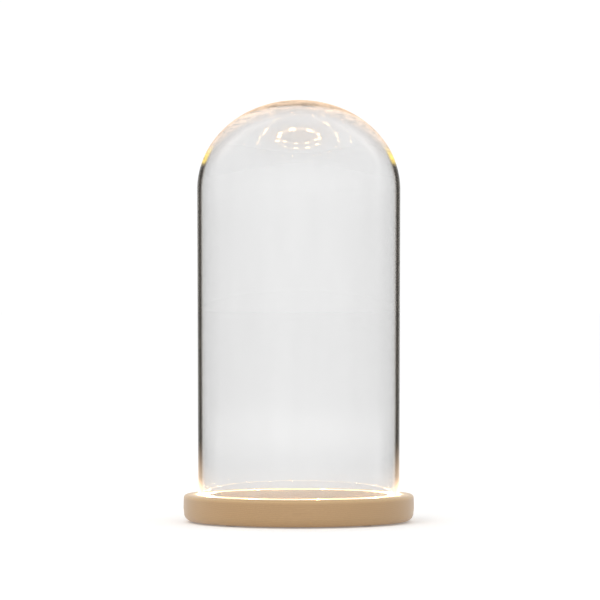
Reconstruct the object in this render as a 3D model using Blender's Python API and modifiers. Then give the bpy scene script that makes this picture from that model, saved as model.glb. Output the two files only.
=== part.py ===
"""Lit bell jar: a glass dome that stands in a groove of a turned wooden base.

Nine small lights on a flexible strip lie in the base just inside the glass. A plastic tray in the
underside holds three AAA cells, a timer circuit and a three-position slide switch.

Frame: +Z up, -Y is the front, origin on the surface that the feet stand on, below the glass's axis.
Everything in the base is placed from its underside, through the empty called underside.
"""

import math

import bmesh
import bpy
from mathutils import Vector

MM = 0.001

# Whole object
TOTAL_HEIGHT = 301.8 * MM
FOOT_HEIGHT = 0.8 * MM
SEGMENTS = 48  # facets round a large turned piece
GAP = 0.15 * MM  # between small pieces that touch
CUT_START = -2 * MM  # below the underside, where the cutters that open it start

# Wooden base, heights from its underside
BASE_RADIUS = 82.5 * MM
BASE_THICKNESS = 19 * MM
TOP_ROUND = 2.4 * MM
BOTTOM_ROUND = 5.8 * MM
BARREL_HEIGHT = 9 * MM  # height of the widest place of the side
EASED_EDGE = 0.6 * MM
PLATEAU_RADIUS = 64.1 * MM
LEDGE_DEPTH = 1.7 * MM
GROOVE_INNER_RADIUS = 69.1 * MM
GROOVE_OUTER_RADIUS = 73.0 * MM
GROOVE_DEPTH = 4.5 * MM

# Glass dome
GLASS_RIM_RADIUS = 72.0 * MM
GLASS_SHOULDER_RADIUS = 72.7 * MM
GLASS_WALL = 2.6 * MM
CROWN_HEIGHT = 64.2 * MM
CROWN_POWER = 2.02  # 2 is an ellipse, and more is a fuller shoulder
INNER_CROWN_POWER = 2.15  # blown glass is thinnest where it was stretched most
TOP_WALL = 1.7 * MM
CROWN_STEPS = 9
RIM_CLEARANCE = 0.3 * MM

# Light strip
LIGHT_COUNT = 9
LIGHT_PITCH_DEG = 41.3
STRIP_SEAM_DEG = 109.0  # where its two ends meet, from the front towards +X
STRIP_SEAM_GAP = 9 * MM
STRIP_RADIUS = 66.7 * MM
STRIP_WIDTH = 4.2 * MM
STRIP_THICKNESS = 0.3 * MM
LIGHT_SIZE = (3.5 * MM, 2.8 * MM, 0.8 * MM)
LIGHT_CORNER = 0.3 * MM
LENS_RADIUS = 1.25 * MM
LENS_HEIGHT = 0.4 * MM

# Battery tray, heights from the underside of the base
FLANGE_SIZE = (62 * MM, 66 * MM)
FLANGE_CORNER = 3 * MM
FLANGE_RECESS = 0.3 * MM
FLANGE_THICKNESS = 1.6 * MM
TRAY_SIZE = (50 * MM, 54.4 * MM)
TRAY_TOP = 13.8 * MM
TRAY_WALL = 1.2 * MM
TRAY_CORNER = 2.7 * MM
POCKET_CLEARANCE = 0.3 * MM
CELL_BAY_WIDTH = 33.6 * MM
BAY_LENGTH = 52 * MM
PARTITION = 1.2 * MM
LEAD_SLOT_SIZE = (4 * MM, 3.6 * MM)
LEAD_SLOT_HEIGHTS = (2.2 * MM, 5.2 * MM)

# AAA cells
CELL_RADIUS = 5.25 * MM
CELL_LENGTH = 44.5 * MM
CELL_PITCH = 11.1 * MM
CELL_EDGE = 0.5 * MM
CELL_HEADROOM = 0.2 * MM
NUB_RADIUS = 1.9 * MM
NUB_HEIGHT = 1.0 * MM

# Contacts
PLATE_THICKNESS = 0.4 * MM
PLATE_WIDTH = 9 * MM
PLATE_BOTTOM = 2.4 * MM
BRIDGE_TOP = 9.8 * MM
STRAP_BOTTOM = 10.4 * MM
STRAP_TOP = 12.2 * MM
STRAP_REACH = 2.2 * MM  # into the circuit bay
SPRING_WIRE = 0.3 * MM
SPRING_RADII = (3.9 * MM, 2.6 * MM)  # against its plate, against the cell
SPRING_TURNS = 4
SPRING_POINTS_PER_TURN = 8

# Battery door
DOOR_THICKNESS = 1.4 * MM
DOOR_GAP = 0.25 * MM
DOOR_CORNER = 0.4 * MM
TAB_SIZE = (6 * MM, 1.5 * MM, 0.8 * MM)
TAB_REACH = 1.25 * MM  # past the door's edge
TAB_SPACING = 18 * MM
TAB_SLOT_SIZE = (6.6 * MM, 2.6 * MM)
TAB_SLOT_HEIGHTS = (0.8 * MM, 2.5 * MM)
CATCH_SIZE = (8 * MM, 1 * MM, 0.7 * MM)
CATCH_REACH = 0.6 * MM  # past the door's edge
CATCH_NOTCH_SIZE = (9 * MM, 2 * MM)
CATCH_NOTCH_TOP = 2.2 * MM
SLIT_SIZE = (0.8 * MM, 9 * MM, 4 * MM)  # one each side of the catch, so that it can bend
SLIT_OVERRUN = 0.5 * MM  # past the door's edge
GRIP_SIZE = (6 * MM, 3 * MM, 1 * MM)
GRIP_CORNER = 1 * MM
GRIP_INSET = 4.6 * MM  # of its middle from the door's edge
NAIL_NOTCH_SIZE = (12 * MM, 3 * MM)
NAIL_NOTCH_TOP = 1.3 * MM
NAIL_NOTCH_CORNER = 1.2 * MM
NAIL_NOTCH_OFFSET = 2 * MM  # from the end of the bay
RIB_COUNT = 4
RIB_SIZE = (16 * MM, 1.2 * MM, 0.6 * MM)
RIB_CORNER = 0.5 * MM
RIB_START = 8 * MM
RIB_PITCH = 3 * MM

# Circuit
BOARD_SIZE = (11.6 * MM, 40 * MM, 1.0 * MM)
BOARD_BOTTOM = 6.0 * MM
BOARD_CORNER = 0.8 * MM
BOARD_HOLE_RADIUS = 1.0 * MM
BOSS_SPACING = 34 * MM
BOSS_RADIUS = 1.9 * MM
BOSS_HOLE_RADIUS = 0.9 * MM
BOSS_FLOOR = 0.6 * MM
BOARD_HEAD = (1.6 * MM, 0.9 * MM)  # radius and height
BOARD_SHANK = (0.7 * MM, 3.5 * MM)  # radius and length
BOARD_RECESS = (0.35 * MM, 2 * MM)  # width and length of the driver cross's arms
CHIP_SIZE = (3.9 * MM, 4.9 * MM, 1.5 * MM)
CHIP_Y = 2 * MM
RESISTOR_SIZE = (3.2 * MM, 1.6 * MM, 0.6 * MM)
RESISTOR_Y = -6 * MM
CRYSTAL_SIZE = (6.5 * MM, 2.2 * MM, 1.6 * MM)
CRYSTAL_Y = 8.5 * MM
SWITCH_SIZE = (4.4 * MM, 9 * MM, 3.2 * MM)
SWITCH_Y = -9.5 * MM  # the middle of its slider's travel, which rests at the -Y end
SWITCH_CORNER = 0.4 * MM
SLIDER_TRAVEL = 4 * MM
SLIDER_SIZE = (2.2 * MM, 3 * MM)
SLIDER_CORNER = 0.3 * MM
SLIDER_CLEARANCE = 0.3 * MM
SLIDER_REACH = 0.3 * MM  # below the underside of the base
COLLAR_EDGE = (0.7 * MM, 0.8 * MM)  # how far the slider's collar stands out inside the tray

# Leads between the light strip and the circuit
LEAD_RADIUS = 0.45 * MM
LEAD_SPACING = 1.3 * MM
LEAD_HOLE_RADIUS = 2.0 * MM
CHANNEL_WIDTH = 4.4 * MM
CHANNEL_DEPTH = 5 * MM
CHANNEL_OVERLAP = 1 * MM  # with the tray's pocket
LEAD_HEIGHT = 3.2 * MM  # of the run along the channel
ROUTE_STEPS = 3  # points of a lead between two points of its route
BATTERY_LEAD_RADIUS = 0.4 * MM

# Fasteners and feet
TRAY_SCREW_AT = (28 * MM, 30 * MM)
SCREW_HEAD_RADIUS = 2.1 * MM
SCREW_HEAD_HEIGHT = 1.2 * MM
SCREW_SHANK_RADIUS = 0.95 * MM
SCREW_LENGTH = 8.5 * MM
SCREW_POINT = 2 * MM
SCREW_RECESS = (0.5 * MM, 2.6 * MM)  # width and length of the driver cross's arms
SCREW_RECESS_DEPTH = 0.7 * MM
FOOT_RADIUS = 6 * MM
FOOT_CIRCLE = 64 * MM

# Worked out from the above
BASE_TOP = FOOT_HEIGHT + BASE_THICKNESS
SHOULDER_Z = TOTAL_HEIGHT - CROWN_HEIGHT
RIM_Z = BASE_TOP - GROOVE_DEPTH + RIM_CLEARANCE
CELL_BAY_X = -TRAY_SIZE[0] / 2 + TRAY_WALL + CELL_BAY_WIDTH / 2
CIRCUIT_BAY_WIDTH = TRAY_SIZE[0] - 3 * TRAY_WALL - CELL_BAY_WIDTH
CIRCUIT_BAY_X = TRAY_SIZE[0] / 2 - TRAY_WALL - CIRCUIT_BAY_WIDTH / 2
BAY_TOP = TRAY_TOP - TRAY_WALL
FLANGE_TOP = FLANGE_RECESS + FLANGE_THICKNESS
CELL_Z = BAY_TOP - CELL_HEADROOM - CELL_RADIUS
PLATE_Y = BAY_LENGTH / 2 - GAP - PLATE_THICKNESS / 2
CONTACT_Y = PLATE_Y - PLATE_THICKNESS / 2 - GAP  # where a cell's nub and a spring's end stand
HINGE_Y = -BAY_LENGTH / 2 + 0.1 * MM
BOARD_TOP = BOARD_BOTTOM + BOARD_SIZE[2]
PILOT_RADIUS = SCREW_SHANK_RADIUS + GAP


# ---------------------------------------------------------------- helpers


def clear_scene():
    for old in list(bpy.data.objects):
        bpy.data.objects.remove(old)


def new_collection(name):
    made = bpy.data.collections.new(name)
    bpy.context.scene.collection.children.link(made)
    return made


def material(name, colour, roughness, metallic=0.0, transmission=0.0, glow=0.0):
    made = bpy.data.materials.new(name)
    made.use_nodes = True
    shader = made.node_tree.nodes["Principled BSDF"]
    shader.inputs["Base Color"].default_value = (*colour, 1.0)
    shader.inputs["Roughness"].default_value = roughness
    shader.inputs["Metallic"].default_value = metallic
    shader.inputs["Transmission Weight"].default_value = transmission
    shader.inputs["Emission Color"].default_value = (*colour, 1.0)
    shader.inputs["Emission Strength"].default_value = glow
    return made


def new_object(name, data, finish, at=(0, 0, 0), turn=(0, 0, 0), parent=None):
    """An object of the model, or a cutter where finish is None."""
    made = bpy.data.objects.new(name, data)
    made.location = at
    made.rotation_euler = turn
    made.parent = parent
    if finish is None:
        cutters.objects.link(made)
        made.hide_render = True
        made.display_type = "WIRE"
        return made
    bell_jar.objects.link(made)
    if not data.materials:
        data.materials.append(finish)
    return made


def mesh_from(name, built):
    data = bpy.data.meshes.new(name)
    built.to_mesh(data)
    built.free()
    return data


def shade_round(data, degrees=35):
    data.shade_smooth()
    data.set_sharp_from_angle(angle=math.radians(degrees))


def box_mesh(name, size, corner=0.0):
    """A box about its centre, with its four upright edges rounded by corner."""
    built = bmesh.new()
    bmesh.ops.create_cube(built, size=1.0)
    bmesh.ops.scale(built, vec=Vector(size), verts=built.verts)
    if corner > 0:
        half = size[2] / 2
        upright = [e for e in built.edges if abs(e.verts[0].co.z - e.verts[1].co.z) > half]
        bmesh.ops.bevel(built, geom=upright, offset=corner, segments=4, profile=0.5, affect="EDGES")
    return mesh_from(name, built)


def box(name, size, at, finish, corner=0.0, parent=None):
    return new_object(name, box_mesh(name, size, corner), finish, at, parent=parent)


def slab(name, size, centre_xy, bottom, top, finish, corner=0.0):
    """An upright box in the base, between two heights from the underside."""
    full = (size[0], size[1], top - bottom)
    at = (centre_xy[0], centre_xy[1], (bottom + top) / 2)
    return box(name, full, at, finish, corner, underside)


def rod(name, radius, bottom, top, centre_xy, finish, sides=24, top_radius=None):
    """An upright cylinder or cone in the base, between two heights from the underside."""
    built = bmesh.new()
    bmesh.ops.create_cone(
        built,
        cap_ends=True,
        segments=sides,
        radius1=radius,
        radius2=radius if top_radius is None else top_radius,
        depth=top - bottom,
    )
    data = mesh_from(name, built)
    shade_round(data)
    at = (centre_xy[0], centre_xy[1], (bottom + top) / 2)
    return new_object(name, data, finish, at, parent=underside)


def turned(name, outline, finish, segments=SEGMENTS, closed=False, **place):
    """A turned piece: outline is (radius, height) pairs, from the top, down the outer side."""
    built = bmesh.new()
    points = [built.verts.new((radius, 0, height)) for radius, height in outline]
    for start, end in zip(points, points[1:]):
        built.edges.new((start, end))
    if closed:
        built.edges.new((points[-1], points[0]))
    made = new_object(name, mesh_from(name, built), finish, **place)
    screw = made.modifiers.new("turn", "SCREW")
    screw.axis = "Z"
    screw.angle = math.tau
    screw.steps = screw.render_steps = segments
    screw.use_merge_vertices = True
    screw.merge_threshold = 1e-5
    screw.use_smooth_shade = True
    return made


def join_or_cut(target, operation, others):
    for other in others:
        step = target.modifiers.new(other.name, "BOOLEAN")
        step.operation = operation
        step.object = other
    return target


def cut(target, *cutter_objects):
    return join_or_cut(target, "DIFFERENCE", cutter_objects)


def join(target, *added_objects):
    return join_or_cut(target, "UNION", added_objects)


def apply_modifiers(made):
    """Gives the object its evaluated mesh, so that copies of it can share that mesh."""
    bpy.context.view_layer.update()
    graph = bpy.context.evaluated_depsgraph_get()
    made.data = bpy.data.meshes.new_from_object(made.evaluated_get(graph))
    made.modifiers.clear()
    return made


def wire(name, points, radius, finish):
    """A round wire through points that are given in the base's own heights."""
    data = bpy.data.curves.new(name, "CURVE")
    data.dimensions = "3D"
    data.bevel_depth = radius
    data.bevel_resolution = 2
    data.use_fill_caps = True
    line = data.splines.new("POLY")
    line.points.add(len(points) - 1)
    for knot, point in zip(line.points, points):
        knot.co = (*point, 1.0)
    return new_object(name, data, finish, parent=underside)


def smooth_route(points, steps):
    """Points along a Catmull-Rom curve through the given ones."""
    ends = [2 * points[0] - points[1], *points, 2 * points[-1] - points[-2]]
    route = [points[0]]
    for a, b, c, d in zip(ends, ends[1:], ends[2:], ends[3:]):
        for step in range(1, steps + 1):
            t = step / steps
            route.append(
                0.5
                * (
                    2 * b
                    + (c - a) * t
                    + (2 * a - 5 * b + 4 * c - d) * t**2
                    + (3 * b - a - 3 * c + d) * t**3
                )
            )
    return route


def arc(centre, radius, start_deg, end_deg, steps):
    """(radius, height) pairs along an arc of an outline."""
    found = []
    for step in range(steps + 1):
        angle = math.radians(start_deg + (end_deg - start_deg) * step / steps)
        found.append(
            (centre[0] + radius * math.cos(angle), centre[1] + radius * math.sin(angle))
        )
    return found


def round_the_base(azimuth_deg, radius):
    """The place at an azimuth measured from the front (-Y) towards +X."""
    angle = math.radians(azimuth_deg)
    return Vector((radius * math.sin(angle), -radius * math.cos(angle), 0))


# ---------------------------------------------------------------- wooden base


def base_outline():
    top_side = BASE_RADIUS - 0.2 * MM
    bottom_side = BASE_RADIUS - 0.4 * MM
    ledge = BASE_THICKNESS - LEDGE_DEPTH
    floor = BASE_THICKNESS - GROOVE_DEPTH
    outline = [
        (0, BASE_THICKNESS),
        (PLATEAU_RADIUS - EASED_EDGE, BASE_THICKNESS),
        (PLATEAU_RADIUS, BASE_THICKNESS - EASED_EDGE),
        (PLATEAU_RADIUS, ledge),
        (GROOVE_INNER_RADIUS, ledge),
        (GROOVE_INNER_RADIUS, floor),
        (GROOVE_OUTER_RADIUS, floor),
        (GROOVE_OUTER_RADIUS, BASE_THICKNESS - EASED_EDGE / 2),
        (GROOVE_OUTER_RADIUS + EASED_EDGE / 2, BASE_THICKNESS),
    ]
    top_centre = (top_side - TOP_ROUND, BASE_THICKNESS - TOP_ROUND)
    outline += arc(top_centre, TOP_ROUND, 90, 0, 5)
    outline.append((BASE_RADIUS, BARREL_HEIGHT))
    outline += arc((bottom_side - BOTTOM_ROUND, BOTTOM_ROUND), BOTTOM_ROUND, 0, -90, 6)
    outline.append((0, 0))
    return outline


def make_base(finish):
    base = turned("wood_base", base_outline(), finish, parent=underside)
    spare = 2 * POCKET_CLEARANCE
    rebate_size = (FLANGE_SIZE[0] + spare, FLANGE_SIZE[1] + spare)
    rebate_corner = FLANGE_CORNER + POCKET_CLEARANCE
    rebate_top = FLANGE_TOP + POCKET_CLEARANCE
    pocket_size = (TRAY_SIZE[0] + spare, TRAY_SIZE[1] + spare)
    pocket_corner = TRAY_CORNER + POCKET_CLEARANCE
    pocket_top = TRAY_TOP + POCKET_CLEARANCE
    seam = round_the_base(STRIP_SEAM_DEG, STRIP_RADIUS)
    channel_start = TRAY_SIZE[0] / 2 - CHANNEL_OVERLAP
    channel_size = (seam.x - channel_start, CHANNEL_WIDTH)
    channel_at = (channel_start + channel_size[0] / 2, seam.y)
    hole_top = BASE_THICKNESS + 1 * MM
    cutters_made = [
        slab("rebate_cutter", rebate_size, (0, 0), CUT_START, rebate_top, None, rebate_corner),
        slab("pocket_cutter", pocket_size, (0, 0), CUT_START, pocket_top, None, pocket_corner),
        slab("channel_cutter", channel_size, channel_at, CUT_START, CHANNEL_DEPTH, None),
        rod("lead_hole_cutter", LEAD_HOLE_RADIUS, CUT_START, hole_top, seam, None),
    ]
    pilot_top = FLANGE_RECESS + SCREW_LENGTH + 1 * MM
    for number, place in enumerate(tray_screw_places(), 1):
        name = f"pilot_cutter_{number}"
        cutters_made.append(rod(name, PILOT_RADIUS, CUT_START, pilot_top, place, None, 16))
    return cut(base, *cutters_made)


# ---------------------------------------------------------------- glass dome


def crown(radius, height, power):
    """(radius, height) pairs of the crown, from its top down to the shoulder."""
    found = [(0, SHOULDER_Z + height)]
    for step in range(1, CROWN_STEPS):
        angle = math.radians(90 * (1 - step / CROWN_STEPS))
        across = math.cos(angle) ** (2 / power)
        up = math.sin(angle) ** (2 / power)
        found.append((radius * across, SHOULDER_Z + height * up))
    found.append((radius, SHOULDER_Z))
    return found


def make_glass(finish):
    half_wall = GLASS_WALL / 2
    outside = crown(GLASS_SHOULDER_RADIUS, CROWN_HEIGHT, CROWN_POWER)
    inner_radius = GLASS_SHOULDER_RADIUS - GLASS_WALL
    inside = crown(inner_radius, CROWN_HEIGHT - TOP_WALL, INNER_CROWN_POWER)
    rim_centre = (GLASS_RIM_RADIUS - half_wall, RIM_Z + half_wall)
    rim = arc(rim_centre, half_wall, 0, -180, 4)
    return turned("glass_dome", outside + rim + inside[::-1], finish)


# ---------------------------------------------------------------- light strip


def light_azimuths():
    """Azimuths of the lights: an even pitch, with the short space across the seam."""
    spread = LIGHT_PITCH_DEG * (LIGHT_COUNT - 1)
    first = STRIP_SEAM_DEG + (360 - spread) / 2
    return [first + LIGHT_PITCH_DEG * number for number in range(LIGHT_COUNT)]


def make_strip(finish):
    bottom = BASE_THICKNESS - LEDGE_DEPTH + GAP
    inner = STRIP_RADIUS - STRIP_WIDTH / 2
    outer = STRIP_RADIUS + STRIP_WIDTH / 2
    top = bottom + STRIP_THICKNESS
    outline = [(inner, top), (outer, top), (outer, bottom), (inner, bottom)]
    strip = turned("light_strip", outline, finish, closed=True, parent=underside)
    seam = box_mesh("seam_cutter", (STRIP_SEAM_GAP, 3 * STRIP_WIDTH, 4 * MM))
    at = round_the_base(STRIP_SEAM_DEG, STRIP_RADIUS) + Vector((0, 0, bottom))
    turn = (0, 0, math.radians(STRIP_SEAM_DEG))
    return cut(strip, new_object("seam_cutter", seam, None, at, turn, underside))


def make_lights(finish):
    """Each light is a small moulded package with a low domed window on top."""
    package = box("light_1", LIGHT_SIZE, (0, 0, 0), finish, LIGHT_CORNER)
    built = bmesh.new()
    bmesh.ops.create_uvsphere(built, u_segments=12, v_segments=6, radius=1.0)
    window = new_object("window_shape", mesh_from("window_shape", built), None)
    window.location = (0, 0, LIGHT_SIZE[2] / 2)
    window.scale = (LENS_RADIUS, LENS_RADIUS, LENS_HEIGHT)
    apply_modifiers(join(package, window))
    bottom = BASE_THICKNESS - LEDGE_DEPTH + 2 * GAP + STRIP_THICKNESS
    for number, azimuth in enumerate(light_azimuths(), 1):
        light = package
        if number > 1:
            light = new_object(f"light_{number}", package.data, finish)
        light.parent = underside
        light.location = round_the_base(azimuth, STRIP_RADIUS)
        light.location.z = bottom + LIGHT_SIZE[2] / 2
        light.rotation_euler.z = math.radians(azimuth)


# ---------------------------------------------------------------- battery tray


def tray_screw_places():
    x, y = TRAY_SCREW_AT
    return [(-x, -y), (x, -y), (x, y), (-x, y)]


def make_tray(finish):
    tray = slab("battery_tray", TRAY_SIZE, (0, 0), FLANGE_RECESS, TRAY_TOP, finish, TRAY_CORNER)
    flange = (FLANGE_RECESS, FLANGE_TOP)
    join(tray, slab("flange_shape", FLANGE_SIZE, (0, 0), *flange, None, FLANGE_CORNER))
    cell_bay = (CELL_BAY_WIDTH, BAY_LENGTH)
    cell_at = (CELL_BAY_X, 0)
    circuit_bay = (CIRCUIT_BAY_WIDTH, BAY_LENGTH)
    circuit_at = (CIRCUIT_BAY_X, 0)
    above = TRAY_TOP + 1 * MM
    cut(
        tray,
        slab("cell_bay_cutter", cell_bay, cell_at, CUT_START, BAY_TOP, None),
        slab("circuit_bay_cutter", circuit_bay, circuit_at, FLANGE_TOP, above, None),
    )
    cut(tray, *door_openings(), *lead_openings(), *slider_and_screw_openings())
    for side in (-1, 1):
        place = (CIRCUIT_BAY_X, side * BOSS_SPACING / 2)
        foot = FLANGE_TOP - 0.5 * MM
        boss = rod(f"boss_shape_{side}", BOSS_RADIUS, foot, BOARD_BOTTOM - GAP, place, None, 16)
        floor = FLANGE_TOP + BOSS_FLOOR
        name = f"boss_hole_cutter_{side}"
        cut(join(tray, boss), rod(name, BOSS_HOLE_RADIUS, floor, BOARD_TOP, place, None, 16))
    return tray


def door_openings():
    """Notches for the door's catch and for a finger nail, and a slot for each of its tabs."""
    end = BAY_LENGTH / 2
    catch_at = (CELL_BAY_X, end)
    nail_at = (CELL_BAY_X, end + NAIL_NOTCH_OFFSET)
    catch_notch = (CUT_START, CATCH_NOTCH_TOP)
    nail_notch = (CUT_START, NAIL_NOTCH_TOP)
    openings = [
        slab("catch_notch_cutter", CATCH_NOTCH_SIZE, catch_at, *catch_notch, None),
        slab("nail_notch_cutter", NAIL_NOTCH_SIZE, nail_at, *nail_notch, None, NAIL_NOTCH_CORNER),
    ]
    for side in (-1, 1):
        place = (CELL_BAY_X + side * TAB_SPACING / 2, -end)
        name = f"tab_slot_cutter_{side}"
        openings.append(slab(name, TAB_SLOT_SIZE, place, *TAB_SLOT_HEIGHTS, None))
    return openings


def lead_openings():
    """A slot in the outer wall for the light leads, and two in the partition for the straps."""
    wall_x = TRAY_SIZE[0] / 2 - TRAY_WALL / 2
    seam_y = round_the_base(STRIP_SEAM_DEG, STRIP_RADIUS).y
    partition_x = CIRCUIT_BAY_X - CIRCUIT_BAY_WIDTH / 2 - PARTITION / 2
    strap_hole = (PARTITION * 3, PLATE_THICKNESS + 4 * GAP)
    bottom, top = STRAP_BOTTOM - GAP, STRAP_TOP + GAP
    openings = [slab("lead_slot_cutter", LEAD_SLOT_SIZE, (wall_x, seam_y), *LEAD_SLOT_HEIGHTS, None)]
    for side in (-1, 1):
        place = (partition_x, side * PLATE_Y)
        openings.append(slab(f"strap_hole_cutter_{side}", strap_hole, place, bottom, top, None))
    return openings


def slider_and_screw_openings():
    slot_width = SLIDER_SIZE[0] + 2 * SLIDER_CLEARANCE
    slot_length = SLIDER_SIZE[1] + SLIDER_TRAVEL + 2 * SLIDER_CLEARANCE
    slot_size = (slot_width, slot_length)
    slot_at = (CIRCUIT_BAY_X, SWITCH_Y)
    above = FLANGE_TOP + 1 * MM
    openings = [slab("slider_slot_cutter", slot_size, slot_at, CUT_START, above, None)]
    for number, place in enumerate(tray_screw_places(), 1):
        hole_name = f"tray_hole_cutter_{number}"
        openings.append(rod(hole_name, PILOT_RADIUS, CUT_START, above, place, None, 16))
        countersink = rod(
            f"countersink_cutter_{number}",
            SCREW_HEAD_RADIUS + 2 * GAP,
            FLANGE_RECESS - GAP,
            FLANGE_RECESS + SCREW_HEAD_HEIGHT + GAP,
            place,
            None,
            top_radius=PILOT_RADIUS,
        )
        openings.append(countersink)
    return openings


def make_door(finish):
    """The door turns on two tabs that hook behind the tray's edge at -Y."""
    hinge = bpy.data.objects.new("door_hinge", None)
    bell_jar.objects.link(hinge)
    hinge.parent = underside
    hinge.location = (CELL_BAY_X, HINGE_Y, FLANGE_RECESS)
    length = BAY_LENGTH - 2 * DOOR_GAP
    width = CELL_BAY_WIDTH - 2 * DOOR_GAP
    near_edge = -BAY_LENGTH / 2 + DOOR_GAP - HINGE_Y
    far_edge = near_edge + length
    size = (width, length, DOOR_THICKNESS)
    at = (0, near_edge + length / 2, DOOR_THICKNESS / 2)
    door = box("battery_door", size, at, finish, DOOR_CORNER, hinge)
    tab_y = near_edge - TAB_REACH + TAB_SIZE[1] / 2
    tab_z = DOOR_THICKNESS - TAB_SIZE[2] / 2
    slit_x = (CATCH_SIZE[0] + SLIT_SIZE[0]) / 2
    slit_y = far_edge + SLIT_OVERRUN - SLIT_SIZE[1] / 2
    for side in (-1, 1):
        tab_at = (side * TAB_SPACING / 2, tab_y, tab_z)
        tab = box(f"tab_shape_{side}", TAB_SIZE, tab_at, None, parent=hinge)
        slit_at = (side * slit_x, slit_y, DOOR_THICKNESS / 2)
        slit = box(f"slit_cutter_{side}", SLIT_SIZE, slit_at, None, parent=hinge)
        cut(join(door, tab), slit)
    catch_y = far_edge + CATCH_REACH - CATCH_SIZE[1] / 2
    catch_at = (0, catch_y, DOOR_THICKNESS - CATCH_SIZE[2] / 2)
    catch = box("catch_shape", CATCH_SIZE, catch_at, None, parent=hinge)
    grip_at = (0, far_edge - GRIP_INSET, 0)
    grip = box("grip_cutter", GRIP_SIZE, grip_at, None, GRIP_CORNER, hinge)
    cut(join(door, catch), grip)
    for number in range(RIB_COUNT):
        rib_at = (0, near_edge + RIB_START + RIB_PITCH * number, 0)
        cut(door, box(f"rib_cutter_{number}", RIB_SIZE, rib_at, None, RIB_CORNER, hinge))
    return door


# ---------------------------------------------------------------- cells and contacts


def cell_places():
    """(x, way the nub points along Y) of the three cells, joined in series."""
    return [(CELL_BAY_X - CELL_PITCH, 1), (CELL_BAY_X, -1), (CELL_BAY_X + CELL_PITCH, 1)]


def make_cells(finish):
    body_top = CELL_LENGTH - NUB_HEIGHT
    edge = CELL_EDGE
    outline = [
        (0, CELL_LENGTH),
        (NUB_RADIUS, CELL_LENGTH),
        (NUB_RADIUS, body_top),
        (CELL_RADIUS - edge, body_top),
        (CELL_RADIUS, body_top - edge),
        (CELL_RADIUS, edge),
        (CELL_RADIUS - edge, 0),
        (0, 0),
    ]
    first = apply_modifiers(turned("battery_cell_1", outline, finish, 24))
    shade_round(first.data)
    for number, (x, way) in enumerate(cell_places(), 1):
        cell = first
        if number > 1:
            cell = new_object(f"battery_cell_{number}", first.data, finish)
        cell.parent = underside
        cell.location = (x, way * (CONTACT_Y - CELL_LENGTH), CELL_Z)
        cell.rotation_euler.x = math.radians(-90 * way)


def make_springs(finish):
    """A conical spring presses on each cell's flat end."""
    length = 2 * CONTACT_Y - CELL_LENGTH - GAP - 2 * SPRING_WIRE
    count = SPRING_TURNS * SPRING_POINTS_PER_TURN
    for number, (x, way) in enumerate(cell_places(), 1):
        points = []
        for step in range(count + 1):
            share = step / count
            radius = SPRING_RADII[0] + (SPRING_RADII[1] - SPRING_RADII[0]) * share
            angle = math.tau * SPRING_TURNS * share
            along = CONTACT_Y - SPRING_WIRE - length * share
            across, up = radius * math.cos(angle), radius * math.sin(angle)
            points.append((x + across, -way * along, CELL_Z + up))
        wire(f"contact_spring_{number}", points, SPRING_WIRE, finish)


def make_plates(finish):
    """Two terminal plates with straps into the circuit bay, and two bridges between cells."""
    first, middle, last = (x for x, _ in cell_places())
    strap_end = CIRCUIT_BAY_X - CIRCUIT_BAY_WIDTH / 2 + STRAP_REACH
    plate_size = (PLATE_WIDTH, PLATE_THICKNESS)
    for pole, cell_x, side in (("negative", first, -1), ("positive", last, 1)):
        name = f"terminal_plate_{pole}"
        y = side * PLATE_Y
        plate = slab(name, plate_size, (cell_x, y), PLATE_BOTTOM, STRAP_TOP, finish)
        strap_size = (strap_end - cell_x, PLATE_THICKNESS)
        strap_at = (cell_x + strap_size[0] / 2, y)
        join(plate, slab(f"{name}_strap", strap_size, strap_at, STRAP_BOTTOM, STRAP_TOP, None))
    for end, left, right, side in (("front", middle, last, -1), ("rear", first, middle, 1)):
        size = (right - left + PLATE_WIDTH, PLATE_THICKNESS)
        place = ((left + right) / 2, side * PLATE_Y)
        slab(f"bridge_plate_{end}", size, place, PLATE_BOTTOM, BRIDGE_TOP, finish)


# ---------------------------------------------------------------- circuit and switch


def on_board(name, size, y, finish, corner=0.0):
    """A small part that stands on the board."""
    bottom = BOARD_TOP + GAP
    place = (CIRCUIT_BAY_X, y)
    return slab(name, size[:2], place, bottom, bottom + size[2], finish, corner)


def make_circuit(board_finish, chip_finish, metal):
    x = CIRCUIT_BAY_X
    size = BOARD_SIZE[:2]
    board = slab("circuit_board", size, (x, 0), BOARD_BOTTOM, BOARD_TOP, board_finish, BOARD_CORNER)
    below, above = BOARD_BOTTOM - 1 * MM, BOARD_TOP + 1 * MM
    bottom = BOARD_TOP + GAP
    for number, side in enumerate((-1, 1), 1):
        place = (x, side * BOSS_SPACING / 2)
        hole_name = f"board_hole_cutter_{number}"
        cut(board, rod(hole_name, BOARD_HOLE_RADIUS, below, above, place, None, 16))
        radius, height = BOARD_HEAD
        head = rod(f"board_screw_{number}", radius, bottom, bottom + height, place, metal, 20)
        radius, length = BOARD_SHANK
        inside_head = bottom + height / 3
        shank_name = f"board_shank_{number}"
        join(head, rod(shank_name, radius, bottom - length, inside_head, place, None, 16))
        cut_cross(head, BOARD_RECESS, bottom + 0.4 * MM, bottom + 1.5 * MM, place)
    on_board("timer_chip", CHIP_SIZE, CHIP_Y, chip_finish)
    on_board("limiting_resistor", RESISTOR_SIZE, RESISTOR_Y, chip_finish)
    on_board("timer_crystal", CRYSTAL_SIZE, CRYSTAL_Y, metal, 1 * MM)


def cut_cross(target, size, bottom, top, place):
    """A cross-shaped driver recess."""
    width, length = size
    for number, arm in enumerate(((length, width), (width, length)), 1):
        cut(target, slab(f"{target.name}_recess_{number}", arm, place, bottom, top, None))


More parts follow.
